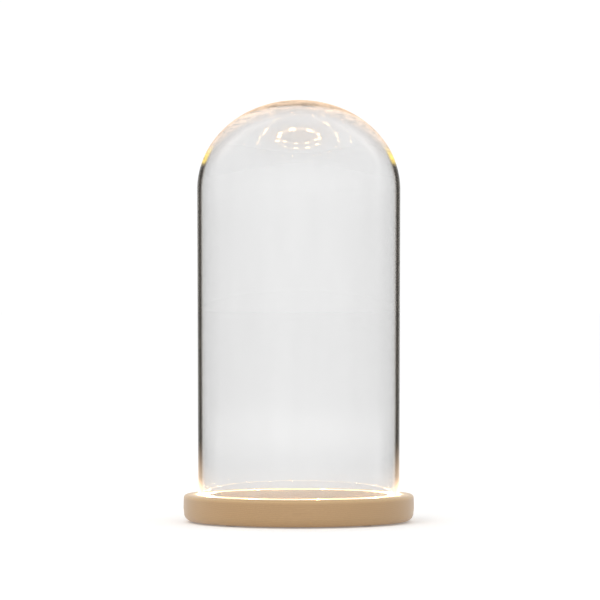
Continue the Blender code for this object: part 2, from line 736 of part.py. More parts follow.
def make_switch(metal, finish):
    x = CIRCUIT_BAY_X
    size = SWITCH_SIZE[:2]
    top = BOARD_BOTTOM - GAP
    bottom = top - SWITCH_SIZE[2]
    slab("switch_body", size, (x, SWITCH_Y), bottom, top, metal, SWITCH_CORNER)
    place = (x, SWITCH_Y - SLIDER_TRAVEL / 2)
    slider_top = bottom - GAP
    corner = SLIDER_CORNER
    slider = slab("switch_slider", SLIDER_SIZE, place, -SLIDER_REACH, slider_top, finish, corner)
    collar_width = SLIDER_SIZE[0] + 2 * COLLAR_EDGE[0]
    collar_size = (collar_width, SLIDER_SIZE[1] + 2 * COLLAR_EDGE[1])
    collar = slab("collar_shape", collar_size, place, FLANGE_TOP + GAP, slider_top, None)
    return join(slider, collar)


# ---------------------------------------------------------------- leads


def make_leads(red, black):
    """Two leads from the strip's ends, down through the base and along its underside."""
    seam = round_the_base(STRIP_SEAM_DEG, STRIP_RADIUS)
    along_ring = round_the_base(STRIP_SEAM_DEG + 90, 1.0)
    strip_z = BASE_THICKNESS - LEDGE_DEPTH + GAP + LEAD_RADIUS
    start_away = STRIP_SEAM_GAP / 2 - GAP
    for pole, side, finish in (("positive", 1, red), ("negative", -1, black)):
        beside = side * LEAD_SPACING / 2
        over_hole = seam + along_ring * beside
        lane = seam.y + beside
        route = [
            seam + along_ring * side * start_away + Vector((0, 0, strip_z)),
            seam + along_ring * side * 2.5 * MM + Vector((0, 0, strip_z + 0.1 * MM)),
            seam + along_ring * side * 1.2 * MM + Vector((0, 0, strip_z - 0.4 * MM)),
            over_hole + Vector((0, 0, strip_z - 2.2 * MM)),
            over_hole + Vector((0, 0, 9 * MM)),
            over_hole + Vector((-0.8 * MM, 0, 5 * MM)),
            Vector((seam.x - 5 * MM, lane, LEAD_HEIGHT)),
            Vector(((seam.x + TRAY_SIZE[0] / 2) / 2, lane, LEAD_HEIGHT)),
            Vector((TRAY_SIZE[0] / 2 + 2 * MM, lane, LEAD_HEIGHT + 0.3 * MM)),
            Vector((TRAY_SIZE[0] / 2 - 1.6 * MM, lane, LEAD_HEIGHT + 1.0 * MM)),
        ]
        route += lead_inside_tray(side, lane)
        wire(f"light_lead_{pole}", smooth_route(route, ROUTE_STEPS), LEAD_RADIUS, finish)


def lead_inside_tray(side, lane):
    """From the slot in the tray's wall, up past the end of the board and over onto its pad."""
    pad_x = CIRCUIT_BAY_X - side * 2.3 * MM
    pad_y = BOARD_SIZE[1] / 2 - 7 * MM
    return [
        Vector((pad_x + 2.2 * MM, lane + 0.2 * MM, BOARD_BOTTOM + 0.2 * MM)),
        Vector((pad_x + 0.8 * MM, lane - 0.4 * MM, BOARD_TOP + 1.7 * MM)),
        Vector((pad_x + 0.2 * MM, pad_y + 4 * MM, BOARD_TOP + 2.3 * MM)),
        Vector((pad_x, pad_y, BOARD_TOP + 0.7 * MM)),
    ]


def make_battery_leads(red, black):
    """Short leads from the terminal straps to the board."""
    x = CIRCUIT_BAY_X - CIRCUIT_BAY_WIDTH / 2 + 1.4 * MM
    for pole, side, finish in (("positive", 1, red), ("negative", -1, black)):
        route = [
            Vector((x, side * (CONTACT_Y - 0.4 * MM), 11.3 * MM)),
            Vector((x + 0.3 * MM, side * (CONTACT_Y - 2.2 * MM), 11.5 * MM)),
            Vector((x + 0.8 * MM, side * (CONTACT_Y - 5.0 * MM), 9.6 * MM)),
            Vector((x + 1.2 * MM, side * (CONTACT_Y - 6.6 * MM), BOARD_TOP + 0.7 * MM)),
        ]
        line = smooth_route(route, ROUTE_STEPS)
        wire(f"battery_lead_{pole}", line, BATTERY_LEAD_RADIUS, finish)


# ---------------------------------------------------------------- fasteners and feet


def make_tray_screws(metal):
    head_bottom = FLANGE_RECESS + 0.1 * MM
    neck = head_bottom + SCREW_HEAD_HEIGHT
    tip = FLANGE_RECESS + SCREW_LENGTH
    outline = [
        (0, tip),
        (SCREW_SHANK_RADIUS, tip - SCREW_POINT),
        (SCREW_SHANK_RADIUS, neck),
        (SCREW_HEAD_RADIUS, head_bottom),
        (0, head_bottom),
    ]
    first = turned("tray_screw_1", outline, metal, 20, parent=underside)
    recess_top = head_bottom + SCREW_RECESS_DEPTH
    cut_cross(first, SCREW_RECESS, head_bottom - 1 * MM, recess_top, (0, 0))
    apply_modifiers(first)
    shade_round(first.data)
    for number, (x, y) in enumerate(tray_screw_places(), 1):
        screw = first
        if number > 1:
            screw = new_object(f"tray_screw_{number}", first.data, metal, parent=underside)
        screw.location = (x, y, 0)


def make_feet(finish):
    for number in range(4):
        azimuth = 45 + 90 * number
        place = round_the_base(azimuth, FOOT_CIRCLE)
        rod(f"foot_pad_{number + 1}", FOOT_RADIUS, -FOOT_HEIGHT, -GAP, place, finish, 24)


# ---------------------------------------------------------------- assembly

clear_scene()
bell_jar = new_collection("bell_jar")
cutters = new_collection("cutters")
underside = bpy.data.objects.new("underside", None)
underside.location = (0, 0, FOOT_HEIGHT)
bell_jar.objects.link(underside)

glass = material("clear_glass", (0.97, 0.98, 0.98), 0.02, transmission=1.0)
wood = material("pale_wood", (0.60, 0.42, 0.25), 0.55)
light_plastic = material("light_window", (1.0, 0.80, 0.48), 0.3, glow=8.0)
strip_white = material("white_circuit", (0.85, 0.85, 0.82), 0.45)
tray_plastic = material("black_plastic", (0.035, 0.035, 0.038), 0.5)
cell_wrap = material("cell_wrap", (0.10, 0.16, 0.14), 0.3)
steel = material("bright_steel", (0.70, 0.70, 0.70), 0.28, 1.0)
board_green = material("circuit_board", (0.05, 0.22, 0.10), 0.4)
chip_black = material("chip_black", (0.02, 0.02, 0.02), 0.45)
slider_white = material("slider_white", (0.80, 0.80, 0.78), 0.4)
lead_red = material("lead_red", (0.55, 0.03, 0.02), 0.4)
lead_black = material("lead_black", (0.02, 0.02, 0.02), 0.4)
foot_foam = material("foot_foam", (0.06, 0.055, 0.05), 0.9)

make_base(wood)
make_glass(glass)
make_strip(strip_white)
make_lights(light_plastic)
make_tray(tray_plastic)
make_door(tray_plastic)
make_cells(cell_wrap)
make_springs(steel)
make_plates(steel)
make_circuit(board_green, chip_black, steel)
make_switch(steel, slider_white)
make_leads(lead_red, lead_black)
make_battery_leads(lead_red, lead_black)
make_tray_screws(steel)
make_feet(foot_foam)
bpy.context.view_layer.update()
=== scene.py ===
"""Looks for the lit bell jar: blown glass, turned pale wood and a ring of small warm lights.

Everything is in the CAD model's frame, in metres: +Z up, -Y the front. Sizes come from the CAD
nodes' boxes where they can, and are named below where they can't.
"""

import math

import bmesh
import bpy
from mathutils import Matrix, Vector, noise


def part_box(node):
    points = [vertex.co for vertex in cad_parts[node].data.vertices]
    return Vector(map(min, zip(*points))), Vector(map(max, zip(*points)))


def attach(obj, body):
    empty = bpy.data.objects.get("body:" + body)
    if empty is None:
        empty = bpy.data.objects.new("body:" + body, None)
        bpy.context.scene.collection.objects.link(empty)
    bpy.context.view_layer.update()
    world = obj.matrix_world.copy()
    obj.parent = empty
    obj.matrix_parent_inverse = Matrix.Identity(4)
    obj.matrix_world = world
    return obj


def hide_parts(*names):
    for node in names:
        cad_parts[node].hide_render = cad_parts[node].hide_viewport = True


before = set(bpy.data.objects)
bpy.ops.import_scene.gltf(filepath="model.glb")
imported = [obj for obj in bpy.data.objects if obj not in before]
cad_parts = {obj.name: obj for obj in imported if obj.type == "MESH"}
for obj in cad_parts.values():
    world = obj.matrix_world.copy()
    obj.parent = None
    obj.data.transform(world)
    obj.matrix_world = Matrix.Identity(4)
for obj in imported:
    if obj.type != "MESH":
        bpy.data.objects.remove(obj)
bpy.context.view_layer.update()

MM = 0.001

# Taken from the CAD nodes
WOOD_LOW, WOOD_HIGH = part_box("wood_base")
GLASS_LOW, GLASS_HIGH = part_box("glass_dome")
STRIP_LOW, STRIP_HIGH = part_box("light_strip")
TRAY_LOW, TRAY_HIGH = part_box("battery_tray")
UNDERSIDE = WOOD_LOW.z
WOOD_RADIUS = WOOD_HIGH.x
SHOULDER_RADIUS = GLASS_HIGH.x

# Wooden base, heights from its underside
THICKNESS = WOOD_HIGH.z - WOOD_LOW.z
TOP_ROUND = 2.4 * MM
BOTTOM_ROUND = 5.8 * MM
BARREL_HEIGHT = 9 * MM
EASED_EDGE = 0.6 * MM
PLATEAU_RADIUS = 64.1 * MM
LEDGE_DEPTH = 1.7 * MM
GROOVE_INNER_RADIUS = 69.1 * MM
GROOVE_OUTER_RADIUS = 73.0 * MM
GROOVE_DEPTH = 4.5 * MM

# Glass dome
RIM_RADIUS = 72.0 * MM
GLASS_WALL = 2.6 * MM
CROWN_HEIGHT = 64.2 * MM
CROWN_POWER = 2.02
INNER_CROWN_POWER = 2.15
TOP_WALL = 1.7 * MM
GLASS_IOR = 1.48
GLASS_WAVE = 0.004 * MM  # how far blown glass strays from a true surface

# Lights
LIGHT_COUNT = 9
SEAM_DEG = 109.0
SEAM_GAP = 9 * MM
STRIP_RADIUS = 66.7 * MM
STRIP_WIDTH = 4.2 * MM
LIGHT_GLOW = 8000.0
PACKAGE_GLOW = 600.0
LIGHT_PITCH_DEG = 41.3
# The strip's glow is painted light: emission on a strip that is no lamp, strong beside each lamp and
# faint between them.
STRIP_GLOW = 300.0
STRIP_FAINT = 1.6
STRIP_SPREAD = 4.2 * MM
WARM = (1.0, 0.66, 0.34)
# Painted light on the glass, which is no lamp: the two glow colours and the two sheen strengths are its
# painted emission, and the shoulder tint is painted yellow light.
GLASS_GLOW = (1.0, 0.71, 0.48)
SHOULDER_GLOW = (1.0, 0.74, 0.12)
CROWN_SHEEN = 0.52
OUTLINE_SHEEN = 0.34
SHOULDER_PAINTED_YELLOW = (0.90, 0.62, 0.08)
MIRROR_BOOST = 2.6
LOW_MIRROR = 0.40  # share of the boost beside the lights
CROWN_START = (0.215, 0.270)  # heights over which the wall becomes the crown
# Painted light on the wood: emission for the lamps' light on the step, the groove's wall and the rim.
WOOD_GLOW = (1.0, 0.80, 0.46)
STEP_GLOW = 3.0
SPILL = 0.10
RIM_SPILL = 0.40

# Cells, springs, screws and feet
CELL_LENGTH = 44.5 * MM
CELL_RADIUS = 5.25 * MM
CELL_WAYS = (1, -1, 1)  # which way each positive end points along Y
SPRING_WIRE = 0.3 * MM
SPRING_RADII = (3.9 * MM, 2.6 * MM)
SPRING_TURNS = 4

# Studio
WHITE = 1.03
SIDE_LIGHT = 0.55
FRONT_LIGHT = 0.9
FLOOR_LIFT = 0.19

# Camera
CAMERA_DISTANCE = 2.5
CAMERA_HEIGHT = 0.1561
CAMERA_AIM = 0.1587
CAMERA_SIDE = 0.0009
VIEW_WIDTH = 0.4296  # what the picture spans at the axis of the glass


# ---------------------------------------------------------------- mesh helpers


def turned(name, outline, steps):
    """A closed turned piece: outline is (radius, height) pairs, from the top, down the outer side."""
    built = bmesh.new()
    points = [built.verts.new((radius, 0, height)) for radius, height in outline]
    for start, end in zip(points, points[1:]):
        built.edges.new((start, end))
    if outline[-1][0] > 0:
        built.edges.new((points[-1], points[0]))
    piece = new_piece(name, built)
    screw = piece.modifiers.new("turn", "SCREW")
    screw.axis = "Z"
    screw.angle = math.tau
    screw.steps = screw.render_steps = steps
    screw.use_merge_vertices = True
    screw.merge_threshold = 1e-6
    return applied(piece)


def new_piece(name, built):
    data = bpy.data.meshes.new(name)
    built.to_mesh(data)
    built.free()
    piece = bpy.data.objects.new(name, data)
    bpy.context.scene.collection.objects.link(piece)
    return piece


def applied(piece):
    """Gives the piece the mesh that its modifiers make."""
    bpy.context.view_layer.update()
    graph = bpy.context.evaluated_depsgraph_get()
    piece.data = bpy.data.meshes.new_from_object(piece.evaluated_get(graph))
    piece.modifiers.clear()
    return piece


def smooth(piece, degrees=35):
    piece.data.shade_smooth()
    piece.data.set_sharp_from_angle(angle=math.radians(degrees))
    return piece


def arc(centre, radius, start_deg, end_deg, steps):
    found = []
    for step in range(steps + 1):
        angle = math.radians(start_deg + (end_deg - start_deg) * step / steps)
        found.append((centre[0] + radius * math.cos(angle), centre[1] + radius * math.sin(angle)))
    return found


def add_box(built, low, high, slot=0, corner=0.0):
    """A box between two corners, its edges rounded by corner."""
    made = bmesh.ops.create_cube(built, size=1.0)["verts"]
    size = Vector(high) - Vector(low)
    centre = (Vector(high) + Vector(low)) / 2
    bmesh.ops.scale(built, vec=size, verts=made)
    bmesh.ops.translate(built, vec=centre, verts=made)
    if corner > 0:
        edges = {edge for vert in made for edge in vert.link_edges}
        bevelled = bmesh.ops.bevel(
            built, geom=list(edges), offset=corner, segments=2, profile=0.5, affect="EDGES"
        )
        made = bevelled["verts"]
    for vert in made:
        for face in vert.link_faces:
            face.material_index = slot


def round_the_base(azimuth_deg, radius):
    """The place at an azimuth measured from the front (-Y) towards +X."""
    angle = math.radians(azimuth_deg)
    return Vector((radius * math.sin(angle), -radius * math.cos(angle), 0))


def cut(piece, cutters):
    for number, cutter in enumerate(cutters):
        step = piece.modifiers.new(f"cut_{number}", "BOOLEAN")
        step.operation = "DIFFERENCE"
        step.object = cutter
    applied(piece)
    for cutter in cutters:
        bpy.data.objects.remove(cutter)
    return piece


def box_cutter(low, high, corner=0.0):
    built = bmesh.new()
    bmesh.ops.create_cube(built, size=1.0)
    size = Vector(high) - Vector(low)
    bmesh.ops.scale(built, vec=size, verts=built.verts)
    if corner > 0:
        upright = [e for e in built.edges if abs(e.verts[0].co.z - e.verts[1].co.z) > size.z / 2]
        bmesh.ops.bevel(built, geom=upright, offset=corner, segments=6, profile=0.5, affect="EDGES")
    bmesh.ops.translate(built, vec=(Vector(high) + Vector(low)) / 2, verts=built.verts)
    return new_piece("cutter", built)


def rod_cutter(radius, bottom, top, centre):
    built = bmesh.new()
    bmesh.ops.create_cone(
        built, cap_ends=True, segments=40, radius1=radius, radius2=radius, depth=top - bottom
    )
    at = Vector((centre[0], centre[1], (bottom + top) / 2))
    bmesh.ops.translate(built, vec=at, verts=built.verts)
    return new_piece("cutter", built)


# ---------------------------------------------------------------- material helpers


class Nodes:
    """Short ways to add and join shader nodes."""

    def __init__(self, name):
        self.material = bpy.data.materials.new(name)
        self.material.use_nodes = True
        self.tree = self.material.node_tree
        self.shader = self.tree.nodes["Principled BSDF"]
        self.output = self.tree.nodes["Material Output"]

    def add(self, kind, **settings):
        node = self.tree.nodes.new(kind)
        for key, value in settings.items():
            setattr(node, key, value)
        return node

    def join(self, source, target):
        self.tree.links.new(source, target)

    def feed(self, target, value):
        """A socket takes another socket or a plain value."""
        if isinstance(value, bpy.types.NodeSocket):
            self.join(value, target)
        else:
            target.default_value = value

    def math(self, operation, a, b=0.0, c=0.0, clamp=False):
        node = self.add("ShaderNodeMath", operation=operation, use_clamp=clamp)
        for target, value in zip(node.inputs, (a, b, c)):
            self.feed(target, value)
        return node.outputs[0]

    def ramp(self, factor, stops, smooth_steps=False):
        node = self.add("ShaderNodeValToRGB")
        if smooth_steps:
            node.color_ramp.interpolation = "EASE"
        elements = node.color_ramp.elements
        while len(elements) < len(stops):
            elements.new(0.5)
        for element, (place, colour) in zip(elements, stops):
            element.position = place
            element.color = (*colour, 1.0)
        self.feed(node.inputs[0], factor)
        return node.outputs[0]

    def bell(self, value):
        """1 where the value is 0, falling to 0 past 2 on both sides."""
        return self.math("EXPONENT", self.math("MULTIPLY", self.math("MULTIPLY", value, value), -1.0))

    def place(self, scale=(1, 1, 1), offset=(0, 0, 0)):
        """Object coordinates, moved and then scaled."""
        coords = self.add("ShaderNodeTexCoord").outputs["Object"]
        moved = self.add("ShaderNodeVectorMath", operation="SUBTRACT")
        self.join(coords, moved.inputs[0])
        moved.inputs[1].default_value = offset
        scaled = self.add("ShaderNodeVectorMath", operation="MULTIPLY")
        self.join(moved.outputs[0], scaled.inputs[0])
        scaled.inputs[1].default_value = scale
        return scaled.outputs[0]

    def noise(self, vector, scale, detail=3.0, roughness=0.5):
        node = self.add("ShaderNodeTexNoise")
        self.join(vector, node.inputs["Vector"])
        node.inputs["Scale"].default_value = scale
        node.inputs["Detail"].default_value = detail
        node.inputs["Roughness"].default_value = roughness
        return node.outputs["Fac"]

    def mix(self, factor, first, second, blend="MIX"):
        node = self.add("ShaderNodeMix", data_type="RGBA", blend_type=blend)
        self.feed(node.inputs["Factor"], factor)
        for socket, value in ((node.inputs[6], first), (node.inputs[7], second)):
            if isinstance(value, tuple):
                value = (*value, 1.0)
            self.feed(socket, value)
        return node.outputs[2]

    def emission(self, colour, strength):
        node = self.add("ShaderNodeEmission")
        node.inputs["Color"].default_value = (*colour, 1.0)
        self.feed(node.inputs["Strength"], strength)
        return node.outputs[0]

    def both(self, first, second):
        node = self.add("ShaderNodeAddShader")
        self.join(first, node.inputs[0])
        self.join(second, node.inputs[1])
        return node.outputs[0]

    def bump(self, height, strength, distance):
        node = self.add("ShaderNodeBump")
        node.inputs["Strength"].default_value = strength
        node.inputs["Distance"].default_value = distance
        self.join(height, node.inputs["Height"])
        self.join(node.outputs[0], self.shader.inputs["Normal"])

    def set(self, **values):
        for key, value in values.items():
            if isinstance(value, tuple):
                value = (*value, 1.0)
            self.feed(self.shader.inputs[key.replace("_", " ")], value)
        return self.material


class WorldNodes(Nodes):
    """The same for the studio's surroundings."""

    def __init__(self):
        world = bpy.data.worlds.new("studio")
        world.use_nodes = True
        bpy.context.scene.world = world
        self.tree = world.node_tree


def smooth_rise(nodes, value, start, end):
    """0 before start and 1 after end, with a soft change between them."""
    rise = nodes.add("ShaderNodeMapRange", interpolation_type="SMOOTHSTEP")
    nodes.feed(rise.inputs["Value"], value)
    low, high, falling = (start, end, False) if start < end else (end, start, True)
    rise.inputs["From Min"].default_value = low
    rise.inputs["From Max"].default_value = high
    if falling:
        rise.inputs["To Min"].default_value = 1.0
        rise.inputs["To Max"].default_value = 0.0
    return rise.outputs[0]


def grey(value):
    return (value, value, value)


def clear_glass(nodes, tint, sheen):
    """Sharp refraction and reflection, open to shadow rays so that the lights shine through."""
    bend = nodes.add("ShaderNodeBsdfRefraction")
    bend.inputs["IOR"].default_value = GLASS_IOR
    bend.inputs["Roughness"].default_value = 0.0
    nodes.feed(bend.inputs["Color"], tint)
    shine = nodes.add("ShaderNodeBsdfAnisotropic")
    shine.inputs["Roughness"].default_value = 0.0
    nodes.feed(shine.inputs["Color"], sheen)
    fresnel = nodes.add("ShaderNodeFresnel")
    fresnel.inputs["IOR"].default_value = GLASS_IOR
    glass = nodes.add("ShaderNodeMixShader")
    nodes.join(fresnel.outputs[0], glass.inputs[0])
    nodes.join(bend.outputs[0], glass.inputs[1])
    nodes.join(shine.outputs[0], glass.inputs[2])
    clear = nodes.add("ShaderNodeBsdfTransparent")
    clear.inputs["Color"].default_value = (0.96, 0.96, 0.96, 1.0)
    light_path = nodes.add("ShaderNodeLightPath")
    mixed = nodes.add("ShaderNodeMixShader")
    nodes.join(light_path.outputs["Is Shadow Ray"], mixed.inputs[0])
    nodes.join(glass.outputs[0], mixed.inputs[1])
    nodes.join(clear.outputs[0], mixed.inputs[2])
    return mixed.outputs[0]


def strong_mirror(nodes, height, start, end, from_front=True):
    """Stronger reflection than plain glass in the crown and, less so, beside the lights, where a
    ray meets it squarely: full up to the facing start, none past end, and only on one side, so that
    light inside the wall never gains."""
    facing = nodes.add("ShaderNodeLayerWeight").outputs["Facing"]
    behind = nodes.add("ShaderNodeNewGeometry").outputs["Backfacing"]
    side = nodes.math("SUBTRACT", 1.0, behind) if from_front else behind
    squarely = nodes.math("MULTIPLY", smooth_rise(nodes, facing, end, start), side)
    place = nodes.math("MULTIPLY", smooth_rise(nodes, height, 0.085, 0.050), LOW_MIRROR)
    place = nodes.math("ADD", place, smooth_rise(nodes, height, *CROWN_START))
    squarely = nodes.math("MULTIPLY", squarely, place)
    return nodes.mix(squarely, (1.0, 1.0, 1.0), (MIRROR_BOOST, MIRROR_BOOST, MIRROR_BOOST))


def near_a_light(nodes, where, spread_deg):
    """1 at the azimuth of each light, falling to 0 over spread_deg."""
    backwards = nodes.math("MULTIPLY", where.outputs["Y"], -1.0)
    azimuth = nodes.math("ARCTAN2", where.outputs["X"], backwards)
    from_seam = nodes.math("SUBTRACT", azimuth, math.radians(SEAM_DEG))
    from_seam = nodes.math("WRAP", from_seam, math.tau, 0.0)
    pitch = math.radians(LIGHT_PITCH_DEG)
    first = (math.tau - pitch * (LIGHT_COUNT - 1)) / 2
    steps = nodes.math("DIVIDE", nodes.math("SUBTRACT", from_seam, first), pitch)
    share = nodes.math("MULTIPLY", nodes.math("PINGPONG", steps, 0.5), LIGHT_PITCH_DEG / spread_deg)
    return nodes.bell(share)


def inner_glass_material():
    nodes = Nodes("glass_inside")
    nodes.tree.nodes.remove(nodes.shader)
    where = nodes.add("ShaderNodeSeparateXYZ")
    nodes.join(nodes.place(), where.inputs[0])
    mirror = strong_mirror(nodes, where.outputs["Z"], 0.42, 0.55)
    surface = clear_glass(nodes, (1.0, 1.0, 1.0, 1.0), mirror)
    nodes.join(surface, nodes.output.inputs["Surface"])
    return nodes.material


def outer_glass_material():
    """Clear blown glass. Its tint is painted shade by facing: dark where the wall is seen edge on, pale
    round the crown, a little darker over the crown where it is met squarely, and darker towards the
    foot. Painted yellow light marks the shoulders, and a painted warm glow (emission by facing and
    height) stands for the light that the wall carries, as a warm sheen at both ends of it."""
    nodes = Nodes("glass_outside")
    nodes.tree.nodes.remove(nodes.shader)
    facing = nodes.add("ShaderNodeLayerWeight").outputs["Facing"]
    entering = nodes.math("SUBTRACT", 1.0, nodes.add("ShaderNodeNewGeometry").outputs["Backfacing"])
    where = nodes.add("ShaderNodeSeparateXYZ")
    nodes.join(nodes.place(), where.inputs[0])
    height = where.outputs["Z"]
    in_crown = smooth_rise(nodes, height, 0.250, 0.268)

    # Painted shade: the wall's tint by facing, dark in a band where the wall is seen edge on.
    wall = nodes.ramp(
        facing,
        [
            (0.0, grey(0.80)),
            (0.20, grey(0.765)),
            (0.37, grey(0.735)),
            (0.51, grey(0.665)),
            (0.63, grey(0.61)),
            (0.672, (0.57, 0.56, 0.54)),
            (0.706, (0.38, 0.36, 0.34)),
            (0.738, (0.10, 0.085, 0.07)),
            (0.77, (0.04, 0.032, 0.02)),
            (0.81, (0.07, 0.06, 0.045)),
            (0.86, (0.28, 0.26, 0.23)),
            (0.95, (0.50, 0.48, 0.45)),
        ],
    )
    # Painted shade on the crown's tint by facing, paler than the wall's dark band, warming to peach at
    # the outline as painted light.
    crown_tint = nodes.ramp(
        facing,
        [
            (0.0, grey(0.78)),
            (0.35, grey(0.76)),
            (0.55, (0.69, 0.67, 0.66)),
            (0.68, (0.66, 0.63, 0.61)),
            (0.80, (0.68, 0.64, 0.61)),
            (0.88, (0.80, 0.74, 0.68)),
            (0.96, (0.86, 0.72, 0.58)),
        ],
    )
    cloud = nodes.noise(nodes.place(scale=(1.0, 1.0, 0.16)), 60.0, 3.0, 0.6)
    cloud = nodes.math("MULTIPLY_ADD", cloud, 0.06, 0.97)
    tint = nodes.mix(in_crown, wall, crown_tint)
    # Painted shade: the crown's tint is darkened where it is met squarely.
    shaded = nodes.math(
        "MULTIPLY", smooth_rise(nodes, height, *CROWN_START), smooth_rise(nodes, facing, 0.52, 0.38)
    )
    tint = nodes.mix(shaded, tint, nodes.mix(1.0, tint, grey(0.89), "MULTIPLY"))
    # Painted shade: the glass tint is darkened towards the foot.
    darker_towards_foot = nodes.math("MULTIPLY_ADD", smooth_rise(nodes, height, 0.080, 0.035), -0.125, 1.0)
    tint = nodes.mix(1.0, tint, darker_towards_foot, "MULTIPLY")
    tint = nodes.mix(1.0, tint, cloud, "MULTIPLY")
    # Painted light: a yellow band in the tint at the shoulders, where they are seen near edge on.
    shoulder = nodes.math(
        "MULTIPLY", smooth_rise(nodes, height, 0.253, 0.259), smooth_rise(nodes, height, 0.270, 0.260)
    )
    shoulder = nodes.math("MULTIPLY", shoulder, smooth_rise(nodes, facing, 0.68, 0.80))
    tint = nodes.mix(nodes.math("MULTIPLY", shoulder, 0.8), tint, SHOULDER_PAINTED_YELLOW)
    tint = nodes.mix(entering, (1.0, 1.0, 1.0), tint)

    # Reflection colour by facing: weakened in the wall's dark band as part of its painted shade, and
    # warmed to peach at the crown's outline as painted light.
    wall_sheen = nodes.ramp(
        facing,
        [
            (0.0, grey(1.0)),
            (0.55, grey(0.9)),
            (0.67, grey(0.45)),
            (0.74, grey(0.12)),
            (0.84, grey(0.12)),
            (0.92, grey(0.4)),
        ],
    )
    crown_sheen = nodes.ramp(
        facing,
        [
            (0.0, grey(1.0)),
            (0.5, grey(0.85)),
            (0.7, grey(0.5)),
            (0.88, (0.52, 0.42, 0.34)),
            (1.0, (0.70, 0.50, 0.35)),
        ],
    )
    sheen = nodes.mix(in_crown, wall_sheen, crown_sheen)
    sheen = nodes.mix(entering, strong_mirror(nodes, height, 0.17, 0.22, from_front=False), sheen)
    glass = clear_glass(nodes, tint, sheen)

    # Painted glow: emission on the outside of the glass, by facing, height and noise, at the crown, its
    # outline, the shoulders and the foot, standing in for the light that the wall carries.
    wisps = nodes.noise(nodes.place(scale=(70.0, 70.0, 240.0)), 1.5, 3.0, 0.65)
    soft = smooth_rise(nodes, wisps, 0.30, 0.60)
    lower = nodes.math("MAXIMUM", nodes.math("SUBTRACT", 0.285, height), 0.0)
    band = smooth_rise(nodes, nodes.math("MULTIPLY_ADD", lower, -6.0, facing), 0.50, 0.72)
    outline = nodes.math(
        "MULTIPLY", smooth_rise(nodes, facing, 0.66, 0.82), smooth_rise(nodes, height, 0.282, 0.298)
    )
    lively = nodes.math("MULTIPLY_ADD", soft, 0.6, 0.25)
    crown_glow = nodes.math("MULTIPLY", nodes.math("MULTIPLY", band, lively), CROWN_SHEEN)
    crown_glow = nodes.math("MULTIPLY", crown_glow, smooth_rise(nodes, height, 0.258, 0.274))
    crown_glow = nodes.math("MULTIPLY_ADD", outline, OUTLINE_SHEEN, crown_glow)
    shoulder = nodes.math("MULTIPLY", shoulder, nodes.math("MULTIPLY_ADD", soft, 0.5, 0.25))
    edge = smooth_rise(nodes, facing, 0.60, 0.80)
    foot = nodes.math("MULTIPLY", smooth_rise(nodes, height, 0.062, 0.030), 0.42)
    low_foot = nodes.math("MULTIPLY", smooth_rise(nodes, height, 0.034, 0.019), 1.6)
    foot_glow = nodes.math("MULTIPLY", nodes.math("ADD", foot, low_foot), edge)
    # Painted glow: a faint warm emission low on the glass, stronger towards its edges.
    painted_low_glow = nodes.math("MULTIPLY_ADD", smooth_rise(nodes, facing, 0.30, 0.70), 0.20, 0.035)
    painted_low_glow = nodes.math("MULTIPLY", painted_low_glow, smooth_rise(nodes, height, 0.048, 0.020))
    glow = nodes.math("ADD", nodes.math("ADD", crown_glow, foot_glow), painted_low_glow)
    first = nodes.emission(GLASS_GLOW, nodes.math("MULTIPLY", glow, entering))
    shoulder = nodes.emission(SHOULDER_GLOW, nodes.math("MULTIPLY", shoulder, entering))
    glass = nodes.both(glass, nodes.both(first, shoulder))
    nodes.join(glass, nodes.output.inputs["Surface"])
    nodes.material.cycles.emission_sampling = "NONE"
    return nodes.material


